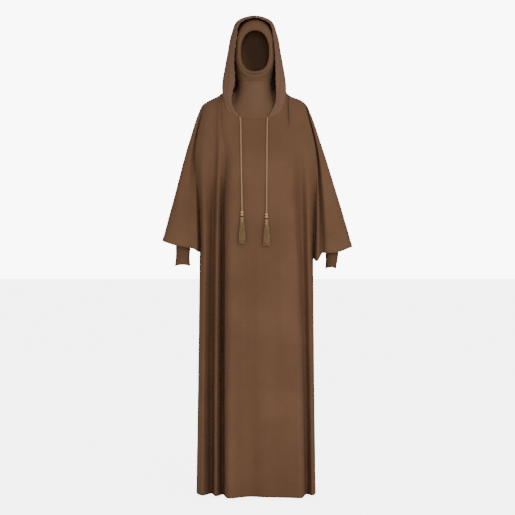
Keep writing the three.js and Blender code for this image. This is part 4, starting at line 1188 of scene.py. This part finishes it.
def tassel_thread(i, place):
    t = THREADS
    spread = math.sqrt((i + 0.5) / t["count"])
    angle = i * GOLDEN_TURN
    length = t["length"] + t["uneven"] * math.sin(i * i)
    path = []
    for k in range(t["steps"] + 1):
        share = k / t["steps"]
        reach = mix(t["root"], t["tip"], share**0.55) * spread
        turn = angle + t["twist"] * share * math.sin(i * 1.7)
        x = reach * math.cos(turn) + t["stray"] * share * math.sin(5 * share + i)
        y = t["lean"] * share + reach * mix(1, t["flat"], share) * math.sin(turn)
        path.append(place + vec(x, y, t["top"] - length * share))
    _, first, second = frames_along(path)
    turns = full_turn(t["sides"])
    rings = []
    for k, (p, u, v) in enumerate(zip(path, first, second)):
        radius = t["radius"] * (1 - t["thinner"] * (k / t["steps"]) ** 4)
        rings.append(p + radius * circle(turns, u, v))
    return tube(rings)


def drawstring(side):
    path = cord_path(side)
    end = CORD_ROUTES[side][-1]
    cord = make_object(f"drawstring_{side}_cord", *twisted_cord(path), BRAID)
    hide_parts(f"drawstring_{side}")
    z = end[2] - BEAD_GAP - 2 * BALL_RADIUS
    ball = make_object(f"ball_{side}", *turned(BALL, (end[0], end[1], z)), BEAD)
    z -= BEAD_GAP + COLLAR_HEIGHT
    collar = make_object(f"collar_{side}", *turned(COLLAR, (end[0], end[1], z)), BEAD)
    z -= BEAD_GAP + RING_HEIGHT
    # This dark ring is painted shade, a dark band that fills the shaded gap above the tassel's head.
    ring = make_object(f"ring_{side}", *turned(RING, (end[0], end[1], z)), GAP_SHADE_RING)
    z -= BEAD_GAP + HEAD["height"]
    place = vec(end[0], end[1], z)
    threads = joined([tassel_head(place), *(tassel_thread(i, place) for i in range(THREADS["count"]))])
    tassel = make_object(f"tassel_{side}_threads", *threads, TASSEL)
    beads = {ball: "bead", collar: "bead", ring: "dark_ring", tassel: "tassel_thread"}
    nodes = ("ball_bead", "collar_bead", "dark_ring", "tassel")
    for (piece, slot), node in zip(beads.items(), nodes):
        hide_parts(f"{node}_{side}")


for side in CORD_ROUTES:
    drawstring(side)

# Floor, light and surroundings
FLOOR = {"half": 60, "z": -1.4085, "pale": 0.9, "paler": 0.92, "glow": 5.0}


def strength_seen(tree, socket, seen, light):
    """Gives a pale surface one strength as it is seen and another as it lights the rest"""
    path = tree.nodes.new("ShaderNodeLightPath").outputs["Is Camera Ray"]
    strength = node_of(tree, "ShaderNodeMath", operation="MULTIPLY_ADD")
    strength.inputs[1].default_value = seen - light
    strength.inputs[2].default_value = light
    tree.links.new(path, strength.inputs[0])
    tree.links.new(strength.outputs["Value"], socket)


def make_floor():
    half, z = FLOOR["half"], FLOOR["z"]
    corners = [(-half, -half, z), (half, -half, z), (half, half, z), (-half, half, z)]
    mesh = bpy.data.meshes.new("floor")
    mesh.from_pydata(corners, [], [(0, 1, 2, 3)])
    material, tree, shader = new_material("floor", 0.9)
    grain = node_of(tree, "ShaderNodeTexNoise", Scale=3.0)
    rows = [(0, [FLOOR["pale"]] * 3), (1, [FLOOR["paler"]] * 3)]
    tree.links.new(ramp(tree, grain.outputs["Fac"], rows), shader.inputs["Base Color"])
    shader.inputs["Emission Color"].default_value = (1, 1, 1, 1)
    strength_seen(tree, shader.inputs["Emission Strength"], FLOOR["glow"], 0)
    mesh.materials.append(material)
    floor = bpy.data.objects.new("floor", mesh)
    bpy.context.collection.objects.link(floor)


def area_light(name, place, target, size, power, colour=(1, 1, 1)):
    data = bpy.data.lights.new(name, "AREA")
    data.size = size
    data.energy = power
    data.color = colour
    light = bpy.data.objects.new(name, data)
    light.location = place
    aim = np.array(target, float) - np.array(place, float)
    light.rotation_euler = (math.atan2(math.hypot(aim[0], aim[1]), -aim[2]), 0, math.atan2(-aim[0], aim[1]))
    bpy.context.collection.objects.link(light)


SKY = {"light": 0.75, "seen": 9.0}


def make_light():
    world = bpy.data.worlds.new("world")
    bpy.context.scene.world = world
    world.use_nodes = True
    background = world.node_tree.nodes["Background"]
    background.inputs["Color"].default_value = (1, 1, 1, 1)
    strength_seen(world.node_tree, background.inputs["Strength"], SKY["seen"], SKY["light"])
    area_light("key", (2.3, -4.6, 1.2), (0, 0, -0.2), 1.4, 86, (1, 0.98, 0.95))
    area_light("front", (0.15, -4.6, 0.1), (0, 0, -0.3), 0.8, 44)


make_floor()
make_light()
